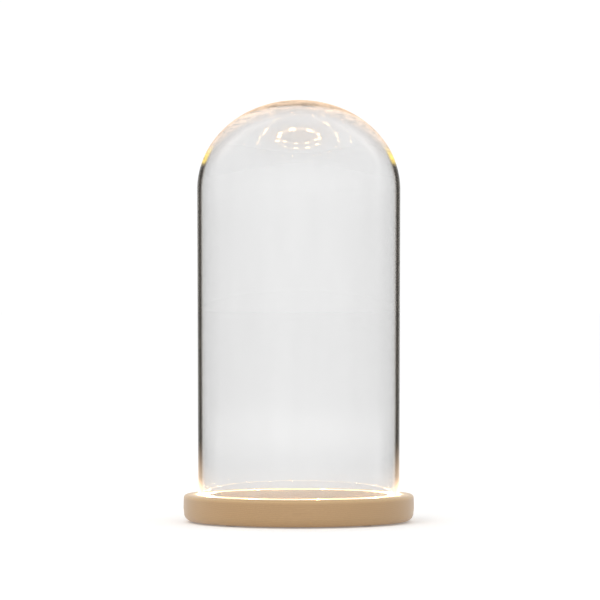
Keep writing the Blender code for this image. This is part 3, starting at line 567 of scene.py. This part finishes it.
def wood_material():
    """Pale flat-sawn wood with its grain along X: rings lie nearly flat, so they show as fine
    level lines on the front, long arches on top and close curved lines on the two ends."""
    nodes = Nodes("pale_turned_wood")
    stretched = nodes.place(scale=(0.06, 1.0, 1.0), offset=(0.0, 0.012, -0.80))
    drift = nodes.noise(stretched, 40.0, 3.0, 0.6)
    wander = nodes.math("MULTIPLY", nodes.math("SUBTRACT", drift, 0.5), 0.0040)
    length = nodes.add("ShaderNodeVectorMath", operation="LENGTH")
    nodes.join(stretched, length.inputs[0])
    depth = nodes.math("ADD", length.outputs["Value"], wander)
    ring = nodes.math("FRACT", nodes.math("DIVIDE", depth, 0.0013))
    ring_tone = nodes.ramp(
        ring,
        [(0.0, grey(0.42)), (0.55, grey(0.55)), (0.88, grey(0.80)), (1.0, grey(0.42))],
    )
    fibre = nodes.noise(nodes.place(scale=(0.03, 1.0, 1.0)), 2600.0, 3.0, 0.65)
    streak = nodes.noise(nodes.place(scale=(0.05, 1.0, 1.0), offset=(0.3, 0.1, 0.2)), 240.0, 2.0)
    patch = nodes.noise(nodes.place(scale=(0.5, 1.0, 1.0)), 18.0, 2.0)
    base = nodes.ramp(
        ring_tone, [(0.35, (0.480, 0.306, 0.145)), (0.85, (0.385, 0.230, 0.095))]
    )
    base = nodes.mix(nodes.math("MULTIPLY", streak, 0.5), base, (0.44, 0.270, 0.122), "MIX")
    dark_fibre = nodes.math("MULTIPLY_ADD", fibre, 1.5, -0.55, clamp=True)
    base = nodes.mix(dark_fibre, base, (0.33, 0.192, 0.084))
    pale_patch = nodes.math("MULTIPLY_ADD", patch, 1.2, -0.45, clamp=True)
    base = nodes.mix(pale_patch, base, (0.49, 0.315, 0.156))
    # Painted highlight: the top face of the raised middle is painted paler.
    across = length_across(nodes)
    middle = smooth_rise(nodes, across, PLATEAU_RADIUS + 1 * MM, PLATEAU_RADIUS - 0.5 * MM)
    split = nodes.add("ShaderNodeSeparateXYZ")
    nodes.join(nodes.place(), split.inputs[0])
    on_top = smooth_rise(nodes, split.outputs["Z"], WOOD_HIGH.z - 3 * MM, WOOD_HIGH.z - 1 * MM)
    middle = nodes.math("MULTIPLY", middle, on_top)
    base = nodes.mix(nodes.math("MULTIPLY", middle, 0.55), base, (0.70, 0.545, 0.38))
    grain = nodes.math("ADD", nodes.math("MULTIPLY", fibre, 0.7), nodes.math("MULTIPLY", ring, 0.3))
    nodes.bump(grain, 0.25, 0.00008)
    roughness = nodes.math("MULTIPLY_ADD", fibre, 0.2, 0.42)
    return nodes.set(
        Base_Color=base,
        Roughness=roughness,
        Coat_Weight=0.55,
        Coat_Roughness=0.28,
        # Emission: painted lamp light on the step, the groove's wall and the rim.
        Emission_Color=WOOD_GLOW,
        Emission_Strength=painted_lamp_light_on_wood(nodes),
    )


def length_across(nodes):
    """Distance from the upright axis through the middle."""
    across = nodes.add("ShaderNodeVectorMath", operation="LENGTH")
    nodes.join(nodes.place(scale=(1.0, 1.0, 0.0)), across.inputs[0])
    return across.outputs["Value"]


def painted_lamp_light_on_wood(nodes):
    """Painted light: an emission on the wood for what it catches of the lights, strong on the step and
    the groove's wall beside them, and a soft painted spill over the edges next to those."""
    split = nodes.add("ShaderNodeSeparateXYZ")
    nodes.join(nodes.place(), split.inputs[0])
    radius = length_across(nodes)
    upper = smooth_rise(nodes, split.outputs["Z"], WOOD_HIGH.z - 3.6 * MM, WOOD_HIGH.z - 0.5 * MM)
    total = 0.0
    for edge, side, strength, reach in (
        (PLATEAU_RADIUS, -1, STEP_GLOW, 0.5 * MM),
        (PLATEAU_RADIUS, -1, SPILL, 5 * MM),
        (GROOVE_OUTER_RADIUS, 1, STEP_GLOW, 0.6 * MM),
        (GROOVE_OUTER_RADIUS, 1, RIM_SPILL, 8 * MM),
    ):
        away = nodes.math("MULTIPLY", nodes.math("SUBTRACT", radius, edge), side / reach)
        beside = nodes.math("GREATER_THAN", away, -0.1 * MM / reach)
        fall = nodes.math("EXPONENT", nodes.math("MULTIPLY", away, -1.0))
        total = nodes.math("MULTIPLY_ADD", nodes.math("MULTIPLY", fall, beside), strength, total)
    nodes.material.cycles.emission_sampling = "NONE"
    return nodes.math("MULTIPLY", total, upper)


def moulded(name, colour, roughness, grain=2200.0, depth=0.00003, strength=0.35):
    """Moulded plastic or rubber with a fine even texture and faint mottling."""
    nodes = Nodes(name)
    where = nodes.place()
    fine = nodes.noise(where, grain, 3.0)
    broad = nodes.noise(where, 90.0, 2.0)
    lighter = tuple(min(1.0, part * 1.18 + 0.004) for part in colour)
    tone = nodes.mix(nodes.math("MULTIPLY", broad, 0.8), colour, lighter)
    rough = nodes.math("MULTIPLY_ADD", fine, 0.18, roughness - 0.09)
    nodes.bump(fine, strength, depth)
    return nodes.set(Base_Color=tone, Roughness=rough)


def metal(name, colour, roughness):
    """Plated metal with fine drawn lines."""
    nodes = Nodes(name)
    lines = nodes.noise(nodes.place(scale=(1.0, 0.08, 1.0)), 3500.0, 2.0)
    darker = tuple(part * 0.8 for part in colour)
    tone = nodes.mix(nodes.math("MULTIPLY", lines, 0.6), colour, darker)
    rough = nodes.math("MULTIPLY_ADD", lines, 0.2, roughness - 0.1)
    nodes.bump(lines, 0.15, 0.00002)
    return nodes.set(Base_Color=tone, Roughness=rough, Metallic=1.0)


def package_material():
    """White plastic round a light, lit through from inside."""
    nodes = Nodes("lit_package")
    mottle = nodes.noise(nodes.place(), 2500.0, 2.0)
    glow = nodes.math("MULTIPLY_ADD", mottle, PACKAGE_GLOW * 0.2, PACKAGE_GLOW * 0.9)
    nodes.material.cycles.emission_sampling = "FRONT"
    return nodes.set(
        Base_Color=(0.86, 0.85, 0.80), Roughness=0.35, Emission_Color=WARM, Emission_Strength=glow
    )


def phosphor_material():
    """The yellow window of a light, glowing evenly with a faint speckle."""
    nodes = Nodes("lit_phosphor")
    speckle = nodes.noise(nodes.place(), 4000.0, 2.0)
    tone = nodes.mix(nodes.math("MULTIPLY", speckle, 0.5), (0.95, 0.70, 0.20), (0.90, 0.60, 0.12))
    glow = nodes.math("MULTIPLY_ADD", speckle, LIGHT_GLOW * 0.1, LIGHT_GLOW)
    nodes.material.cycles.emission_sampling = "FRONT"
    return nodes.set(
        Base_Color=tone, Roughness=0.35, Emission_Color=WARM, Emission_Strength=glow
    )


def strip_material():
    """The strip glows near each lamp and faintly between them: painted light, an emission standing in
    for the light from each lamp spread over the strip's clear coat.
    """
    nodes = Nodes("lit_strip")
    where = nodes.add("ShaderNodeSeparateXYZ")
    nodes.join(nodes.place(), where.inputs[0])
    near = near_a_light(nodes, where, math.degrees(STRIP_SPREAD / STRIP_RADIUS))
    glow = nodes.math("MULTIPLY_ADD", near, STRIP_GLOW, STRIP_FAINT)
    nodes.material.cycles.emission_sampling = "FRONT"
    return nodes.set(
        Base_Color=(0.84, 0.82, 0.76), Roughness=0.4, Emission_Color=WARM, Emission_Strength=glow
    )


def board_material():
    """Green solder resist with paler tracks under it."""
    nodes = Nodes("solder_resist")
    checks = nodes.add("ShaderNodeTexBrick")
    nodes.join(nodes.place(scale=(600.0, 600.0, 600.0)), checks.inputs["Vector"])
    checks.inputs["Color1"].default_value = (0.012, 0.115, 0.045, 1.0)
    checks.inputs["Color2"].default_value = (0.016, 0.150, 0.060, 1.0)
    checks.inputs["Mortar"].default_value = (0.03, 0.22, 0.10, 1.0)
    checks.inputs["Scale"].default_value = 1.0
    checks.inputs["Mortar Size"].default_value = 0.06
    return nodes.set(Base_Color=checks.outputs["Color"], Roughness=0.28, Coat_Weight=0.4)


def cell_material():
    """A plain printed sleeve: blue-grey body with a pale band at the positive end."""
    nodes = Nodes("cell_sleeve")
    along = nodes.add("ShaderNodeSeparateXYZ")
    nodes.join(nodes.place(), along.inputs[0])
    share = nodes.math("DIVIDE", along.outputs["Z"], CELL_LENGTH)
    body, pale = (0.05, 0.10, 0.15), (0.62, 0.64, 0.62)
    band = nodes.ramp(share, [(0.0, body), (0.86, body), (0.865, pale), (1.0, pale)])
    grain = nodes.noise(nodes.place(), 1500.0, 2.0)
    rough = nodes.math("MULTIPLY_ADD", grain, 0.1, 0.22)
    return nodes.set(Base_Color=band, Roughness=rough, Metallic=0.55, Coat_Weight=0.5)


# ---------------------------------------------------------------- pieces


def wood_outline():
    top_side = WOOD_RADIUS - 0.2 * MM
    bottom_side = WOOD_RADIUS - 0.4 * MM
    ledge = THICKNESS - LEDGE_DEPTH
    floor = THICKNESS - GROOVE_DEPTH
    eased = EASED_EDGE
    outline = [(0, THICKNESS)]
    outline += arc((PLATEAU_RADIUS - eased, THICKNESS - eased), eased, 90, 0, 5)
    outline += [
        (PLATEAU_RADIUS, ledge),
        (GROOVE_INNER_RADIUS - 0.2 * MM, ledge),
        (GROOVE_INNER_RADIUS, ledge - 0.2 * MM),
        (GROOVE_INNER_RADIUS, floor),
        (GROOVE_OUTER_RADIUS, floor),
    ]
    outline += arc((GROOVE_OUTER_RADIUS + eased, THICKNESS - eased), eased, 180, 90, 5)
    outline += arc((top_side - TOP_ROUND, THICKNESS - TOP_ROUND), TOP_ROUND, 90, 0, 12)
    outline += [(WOOD_RADIUS - 0.05 * MM, 12.5 * MM), (WOOD_RADIUS, BARREL_HEIGHT)]
    outline += arc((bottom_side - BOTTOM_ROUND, BOTTOM_ROUND), BOTTOM_ROUND, 0, -90, 14)
    outline.append((0, 0))
    return [(radius, height + UNDERSIDE) for radius, height in outline]


def make_wood(finish):
    base = turned("turned_base", wood_outline(), 240)
    seam = round_the_base(SEAM_DEG, STRIP_RADIUS)
    below = UNDERSIDE - 2 * MM
    tray_half = Vector((25 * MM, 27.2 * MM, 0))
    clear = 0.3 * MM
    cutters = [
        box_cutter(
            (TRAY_LOW.x - clear, TRAY_LOW.y - clear, below),
            (TRAY_HIGH.x + clear, TRAY_HIGH.y + clear, UNDERSIDE + 2.2 * MM),
            3.3 * MM,
        ),
        box_cutter(
            (-tray_half.x - clear, -tray_half.y - clear, below),
            (tray_half.x + clear, tray_half.y + clear, TRAY_HIGH.z + clear),
            3.0 * MM,
        ),
        box_cutter(
            (tray_half.x - 1 * MM, seam.y - 2.2 * MM, below),
            (seam.x, seam.y + 2.2 * MM, UNDERSIDE + 5 * MM),
        ),
        rod_cutter(2.0 * MM, below, WOOD_HIGH.z + 2 * MM, seam),
    ]
    for number in range(1, 5):
        low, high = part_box(f"tray_screw_{number}")
        cutters.append(rod_cutter(1.1 * MM, below, high.z + 1 * MM, (low + high) / 2))
    smooth(cut(base, cutters))
    base.data.materials.append(finish)
    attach(base, "base")
    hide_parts("wood_base")
    return base


def crown(radius, height, power, steps):
    shoulder = GLASS_HIGH.z - CROWN_HEIGHT
    found = [(0, shoulder + height)]
    for step in range(1, steps):
        angle = math.radians(90 * (1 - step / steps))
        across = math.cos(angle) ** (2 / power)
        up = math.sin(angle) ** (2 / power)
        found.append((radius * across, shoulder + height * up))
    found.append((radius, shoulder))
    return found


def straight(start, end, steps):
    """Points between two, without the ends, so that a long wall has rows to bend."""
    return [
        (start[0] + (end[0] - start[0]) * step / steps, start[1] + (end[1] - start[1]) * step / steps)
        for step in range(1, steps)
    ]


def make_glass(outer_finish, inner_finish):
    half = GLASS_WALL / 2
    outside = crown(SHOULDER_RADIUS, CROWN_HEIGHT, CROWN_POWER, 48)
    inside = crown(SHOULDER_RADIUS - GLASS_WALL, CROWN_HEIGHT - TOP_WALL, INNER_CROWN_POWER, 48)
    rim = arc((RIM_RADIUS - half, GLASS_LOW.z + half), half, 0, -180, 12)
    hold = 0.3 * MM
    low_outside = (rim[0][0], rim[0][1] + hold)
    low_inside = (rim[-1][0], rim[-1][1] + hold)
    outline = outside + straight(outside[-1], low_outside, 24) + [low_outside]
    outline += rim + [low_inside] + straight(low_inside, inside[-1], 24)
    dome = turned("dome_shell", outline + inside[::-1], 256)
    for vert in dome.data.vertices:
        across = Vector((vert.co.x, vert.co.y, 0))
        if across.length > 1 * MM:
            sway = noise.noise(Vector((vert.co.x * 28, vert.co.y * 28, vert.co.z * 9)))
            vert.co += across.normalized() * sway * GLASS_WAVE
    smooth(dome, 60)
    dome.data.materials.append(outer_finish)
    dome.data.materials.append(inner_finish)
    shoulder = GLASS_HIGH.z - CROWN_HEIGHT
    for face in dome.data.polygons:
        outward = Vector((face.center.x, face.center.y, max(0.0, face.center.z - shoulder)))
        face.material_index = 1 if face.normal.dot(outward) < 0 else 0
    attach(dome, "glass")
    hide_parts("glass_dome")
    return dome


def make_lights(package, window, contact):
    """Each light: a white package with rounded edges, two plated ends and a round yellow window."""
    for number in range(1, LIGHT_COUNT + 1):
        low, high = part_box(f"light_{number}")
        centre = (low + high) / 2
        azimuth = math.atan2(centre.x, -centre.y)
        built = bmesh.new()
        half_length, half_width, tall = 1.75 * MM, 1.4 * MM, 0.8 * MM
        body_end = half_length - 0.2 * MM
        add_box(built, (-body_end, -half_width, 0.0), (body_end, half_width, tall), 0, 0.12 * MM)
        for side in (-1, 1):
            ends = sorted((side * half_length, side * (half_length - 0.35 * MM)))
            plate = half_width - 0.3 * MM
            add_box(built, (ends[0], -plate, 0.0), (ends[1], plate, 0.45 * MM), 2, 0.05 * MM)
        dome = bmesh.ops.create_uvsphere(built, u_segments=32, v_segments=16, radius=1.0)["verts"]
        bmesh.ops.scale(built, vec=(1.2 * MM, 1.2 * MM, 0.3 * MM), verts=dome)
        bmesh.ops.translate(built, vec=(0, 0, tall), verts=dome)
        for vert in dome:
            for face in vert.link_faces:
                face.material_index = 1
        place = Matrix.Translation((centre.x, centre.y, low.z)) @ Matrix.Rotation(azimuth, 4, "Z")
        bmesh.ops.transform(built, matrix=place, verts=built.verts)
        light = smooth(new_piece(f"lamp_{number}", built))
        for finish in (package, window, contact):
            light.data.materials.append(finish)
        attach(light, "base")
        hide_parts(f"light_{number}")


def make_strip(white):
    """The flexible band, open where its two ends meet."""
    inner = STRIP_RADIUS - STRIP_WIDTH / 2
    outer = STRIP_RADIUS + STRIP_WIDTH / 2
    outline = [(inner, STRIP_HIGH.z), (outer, STRIP_HIGH.z), (outer, STRIP_LOW.z), (inner, STRIP_LOW.z)]
    band = turned("strip_band", outline, 240)
    half_gap, reach = SEAM_GAP / 2, STRIP_WIDTH * 1.5
    seam = box_cutter((-half_gap, -reach, -2 * MM), (half_gap, reach, 2 * MM))
    at = round_the_base(SEAM_DEG, STRIP_RADIUS)
    seam.matrix_world = Matrix.Translation((at.x, at.y, STRIP_LOW.z)) @ Matrix.Rotation(
        math.radians(SEAM_DEG), 4, "Z"
    )
    smooth(cut(band, [seam]))
    band.data.materials.append(white)
    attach(band, "base")
    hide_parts("light_strip")
    return band


def make_cells(sleeve, metal_finish):
    """A shrunk sleeve turned over at both ends, a steel shoulder with a nub, and a steel cup."""
    top = CELL_LENGTH - 1.0 * MM
    edge = 0.5 * MM
    side = CELL_RADIUS - edge
    outline = [(0, CELL_LENGTH), (1.5 * MM, CELL_LENGTH)]
    outline += arc((1.5 * MM, CELL_LENGTH - 0.4 * MM), 0.4 * MM, 80, 0, 5)
    outline += [(1.9 * MM, top + 0.1 * MM), (2.2 * MM, top - 0.1 * MM), (3.9 * MM, top - 0.1 * MM)]
    outline += arc((side, top - edge), edge, 90, 0, 6)
    outline += arc((side, edge), edge, 0, -90, 6)
    outline += [(4.0 * MM, 0.1 * MM), (0, 0.1 * MM)]
    for number, way in enumerate(CELL_WAYS, 1):
        low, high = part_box(f"battery_cell_{number}")
        centre = (low + high) / 2
        cell = smooth(turned(f"cell_{number}", outline, 64))
        for finish in (sleeve, metal_finish):
            cell.data.materials.append(finish)
        for face in cell.data.polygons:
            radius = math.hypot(face.center.x, face.center.y)
            is_end = radius < 4.2 * MM and abs(face.normal.z) > 0.1
            is_nub = radius < 2.3 * MM
            face.material_index = 1 if is_end or is_nub else 0
        start = low.y if way > 0 else high.y
        turn = Matrix.Rotation(math.radians(-90 * way), 4, "X")
        cell.matrix_world = Matrix.Translation((centre.x, start, centre.z)) @ turn
        rides_for(cell, "base", f"battery_cell_{number}")


def make_springs(finish):
    """A conical spring for each cell, with a flat turn at both ends."""
    points_per_turn = 40
    count = SPRING_TURNS * points_per_turn
    flat = 0.16
    for number, way in enumerate(CELL_WAYS, 1):
        low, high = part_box(f"contact_spring_{number}")
        cell_low, cell_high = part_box(f"battery_cell_{number}")
        centre = (cell_low + cell_high) / 2
        wide_end = (low.y + SPRING_WIRE) if way > 0 else (high.y - SPRING_WIRE)
        length = (high.y - low.y - 2 * SPRING_WIRE) * way
        path = bpy.data.curves.new(f"spring_path_{number}", "CURVE")
        path.dimensions = "3D"
        path.bevel_depth = SPRING_WIRE
        path.bevel_resolution = 5
        path.use_fill_caps = True
        spline = path.splines.new("POLY")
        spline.points.add(count)
        for step, point in enumerate(spline.points):
            share = step / count
            radius = SPRING_RADII[0] + (SPRING_RADII[1] - SPRING_RADII[0]) * share
            angle = math.tau * SPRING_TURNS * share
            rise = min(1.0, max(0.0, (share - flat) / (1 - 2 * flat)))
            x = centre.x + radius * math.cos(angle)
            z = centre.z + radius * math.sin(angle)
            point.co = (x, wide_end + length * rise, z, 1.0)
        curve = bpy.data.objects.new(f"spring_curve_{number}", path)
        bpy.context.scene.collection.objects.link(curve)
        bpy.context.view_layer.update()
        graph = bpy.context.evaluated_depsgraph_get()
        data = bpy.data.meshes.new_from_object(curve.evaluated_get(graph))
        coil = bpy.data.objects.new(f"coil_{number}", data)
        bpy.context.scene.collection.objects.link(coil)
        bpy.data.objects.remove(curve)
        smooth(coil, 60)
        coil.data.materials.clear()
        coil.data.materials.append(finish)
        rides_for(coil, "base", f"contact_spring_{number}")


def cross_recess(centre, bottom, top, width, length):
    """Two cutters for a driver's cross."""
    x, y = centre.x, centre.y
    half, reach = width / 2, length / 2
    return [
        box_cutter((x - half, y - reach, bottom), (x + half, y + reach, top)),
        box_cutter((x - reach, y - half, bottom), (x + reach, y + half, top)),
    ]


def make_screws(finish):
    """Countersunk wood screws with a thread hold the tray, and pan heads hold the board."""
    for number in range(1, 5):
        node = f"tray_screw_{number}"
        low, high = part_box(node)
        neck = low.z + 1.2 * MM
        outline = [(0, high.z), (0.25 * MM, high.z - 0.4 * MM)]
        turns = 8
        pitch = (high.z - 0.8 * MM - neck) / turns
        for turn in range(turns):
            crest = min(0.93, 0.45 + 0.22 * turn) * MM
            level = high.z - 0.6 * MM - turn * pitch
            root = crest * 0.74
            outline += [(root, level), (crest, level - 0.35 * pitch), (root, level - 0.7 * pitch)]
        outline += [(0.93 * MM, neck), (2.06 * MM, low.z + 0.12 * MM), (1.98 * MM, low.z), (0, low.z)]
        screw = turned(f"wood_screw_{number}", outline, 48)
        centre = (low + high) / 2
        placed(screw, centre)
        cut(screw, cross_recess(centre, low.z - 1 * MM, low.z + 0.7 * MM, 0.5 * MM, 2.6 * MM))
        smooth(screw, 30).data.materials.append(finish)
        rides_for(screw, "base", node)
    for number in range(1, 3):
        node = f"board_screw_{number}"
        low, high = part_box(node)
        centre = (low + high) / 2
        head, shank = 1.58 * MM, 0.68 * MM
        outline = [(0, high.z), (0.9 * MM, high.z - 0.06 * MM), (1.35 * MM, high.z - 0.25 * MM)]
        outline += [(head, high.z - 0.55 * MM), (head, high.z - 0.9 * MM)]
        outline += [(shank, high.z - 0.9 * MM), (shank, low.z + 0.4 * MM), (0, low.z)]
        screw = turned(f"machine_screw_{number}", outline, 40)
        placed(screw, centre)
        cut(screw, cross_recess(centre, high.z - 0.45 * MM, high.z + 1 * MM, 0.35 * MM, 2.0 * MM))
        smooth(screw, 30).data.materials.append(finish)
        rides_for(screw, "base", node)


def make_feet(finish):
    """Foam pads with a pressed edge and a shallow ring."""
    for number in range(1, 5):
        node = f"foot_pad_{number}"
        low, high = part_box(node)
        bottom, top = low.z, high.z
        outline = [(0, top), (5.95 * MM, top), (6.0 * MM, top - 0.1 * MM)]
        outline += arc((5.75 * MM, bottom + 0.25 * MM), 0.25 * MM, 0, -90, 5)
        outline += [(4.7 * MM, bottom), (4.6 * MM, bottom + 0.1 * MM), (4.3 * MM, bottom + 0.1 * MM)]
        outline += [(4.2 * MM, bottom), (0, bottom)]
        pad = turned(f"pad_{number}", outline, 72)
        placed(pad, (low + high) / 2)
        smooth(pad, 40).data.materials.append(finish)
        rides_for(pad, "base", node)


def placed(piece, centre):
    """Moves a turned piece's mesh sideways to a centre."""
    piece.data.transform(Matrix.Translation((centre.x, centre.y, 0)))
    return piece


def rides_for(piece, body, node):
    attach(piece, body)
    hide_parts(node)


def finish_cad_nodes(finishes):
    """Gives each CAD node that stays in view its own finish."""
    for name, finish in finishes.items():
        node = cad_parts[name]
        node.data.materials.clear()
        node.data.materials.append(finish)


# ---------------------------------------------------------------- stage


def make_floor():
    built = bmesh.new()
    bmesh.ops.create_circle(built, cap_ends=True, segments=96, radius=60.0)
    floor = new_piece("studio_floor", built)
    floor.location.z = 0.0
    nodes = Nodes("floor_paper")
    nodes.set(
        Base_Color=grey(0.9),
        Roughness=0.95,
        Emission_Color=grey(1.0),
        Emission_Strength=FLOOR_LIFT,
    )
    nodes.shader.inputs["Specular IOR Level"].default_value = 0.0
    nodes.material.cycles.emission_sampling = "NONE"
    see_through = nodes.add("ShaderNodeMixShader")
    nodes.join(nodes.add("ShaderNodeNewGeometry").outputs["Backfacing"], see_through.inputs[0])
    nodes.join(nodes.shader.outputs[0], see_through.inputs[1])
    nodes.join(nodes.add("ShaderNodeBsdfTransparent").outputs[0], see_through.inputs[2])
    nodes.join(see_through.outputs[0], nodes.output.inputs["Surface"])
    floor.data.materials.append(nodes.material)


def make_world():
    """A bright studio: white behind and in front of the object, greyer at both sides and overhead
    for the soft light that falls on it."""
    nodes = WorldNodes()
    coords = nodes.add("ShaderNodeTexCoord").outputs["Generated"]
    split = nodes.add("ShaderNodeSeparateXYZ")
    nodes.join(coords, split.inputs[0])
    seen = nodes.ramp(split.outputs["Z"], [(0.30, grey(1.0)), (0.9, grey(0.86))])
    sideways = nodes.math("ABSOLUTE", split.outputs["X"])
    soft = nodes.ramp(sideways, [(0.35, grey(1.0)), (0.95, grey(SIDE_LIGHT))])
    overhead = nodes.ramp(split.outputs["Z"], [(0.0, grey(FRONT_LIGHT)), (0.9, grey(1.0))])
    soft = nodes.mix(1.0, soft, overhead, "MULTIPLY")
    diffuse = nodes.add("ShaderNodeLightPath").outputs["Is Diffuse Ray"]
    background = nodes.tree.nodes["Background"]
    nodes.join(nodes.mix(diffuse, seen, soft), background.inputs["Color"])
    background.inputs["Strength"].default_value = WHITE


def area_light(name, place, aim, size, power, colour):
    data = bpy.data.lights.new(name, "AREA")
    data.shape = "RECTANGLE"
    data.size, data.size_y = size
    data.energy = power
    data.color = colour
    light = bpy.data.objects.new(name, data)
    light.location = place
    light.rotation_euler = (Vector(aim) - Vector(place)).to_track_quat("-Z", "Y").to_euler()
    bpy.context.scene.collection.objects.link(light)
    light.visible_glossy = False
    light.visible_transmission = False


def make_camera():
    data = bpy.data.cameras.new("camera")
    data.sensor_width = 36.0
    data.lens = data.sensor_width * CAMERA_DISTANCE / VIEW_WIDTH
    data.clip_end = 200.0
    camera = bpy.data.objects.new("camera", data)
    camera.location = (CAMERA_SIDE, -CAMERA_DISTANCE, CAMERA_HEIGHT)
    aim = Vector((CAMERA_SIDE, 0, CAMERA_AIM))
    camera.rotation_euler = (aim - camera.location).to_track_quat("-Z", "Y").to_euler()
    bpy.context.scene.collection.objects.link(camera)
    bpy.context.scene.camera = camera


# ---------------------------------------------------------------- scene

make_camera()

glass = outer_glass_material()
glass_inside = inner_glass_material()
wood = wood_material()
package = package_material()
strip_white = strip_material()
steel = metal("bright_steel", (0.68, 0.68, 0.67), 0.3)
tray_black = moulded("tray_black", (0.028, 0.028, 0.030), 0.5)
phosphor = phosphor_material()
board = board_material()
cell_sleeve = cell_material()
chip_black = moulded("chip_black", (0.018, 0.018, 0.019), 0.45)
slider_white = moulded("slider_white", (0.78, 0.78, 0.75), 0.4)
lead_red = moulded("lead_red", (0.50, 0.02, 0.015), 0.35)
lead_black = moulded("lead_black", (0.02, 0.02, 0.022), 0.35)
foot_foam = moulded("foot_foam", (0.05, 0.045, 0.04), 0.9, 900.0, 0.0001, 0.6)

make_wood(wood)
make_glass(glass, glass_inside)
make_strip(strip_white)
make_lights(package, phosphor, steel)
make_cells(cell_sleeve, steel)
make_springs(steel)
make_screws(steel)
make_feet(foot_foam)

finishes = {
    "battery_tray": tray_black,
    "battery_door": tray_black,
    "circuit_board": board,
    "timer_chip": chip_black,
    "limiting_resistor": chip_black,
    "timer_crystal": steel,
    "switch_body": steel,
    "switch_slider": slider_white,
    "light_lead_positive": lead_red,
    "light_lead_negative": lead_black,
    "battery_lead_positive": lead_red,
    "battery_lead_negative": lead_black,
    "terminal_plate_positive": steel,
    "terminal_plate_negative": steel,
    "bridge_plate_front": steel,
    "bridge_plate_rear": steel,
}
finish_cad_nodes(finishes)

make_floor()
make_world()
area_light("key", (-1.2, -1.6, 1.6), (0, 0, 0.1), (1.2, 1.2), 12.0, (1.0, 0.98, 0.95))
bpy.context.scene.view_settings.view_transform = "Standard"
cycles = bpy.context.scene.cycles
cycles.max_bounces = 24
cycles.transmission_bounces = 20
cycles.transparent_max_bounces = 16
cycles.glossy_bounces = 8
cycles.sample_clamp_indirect = 20.0
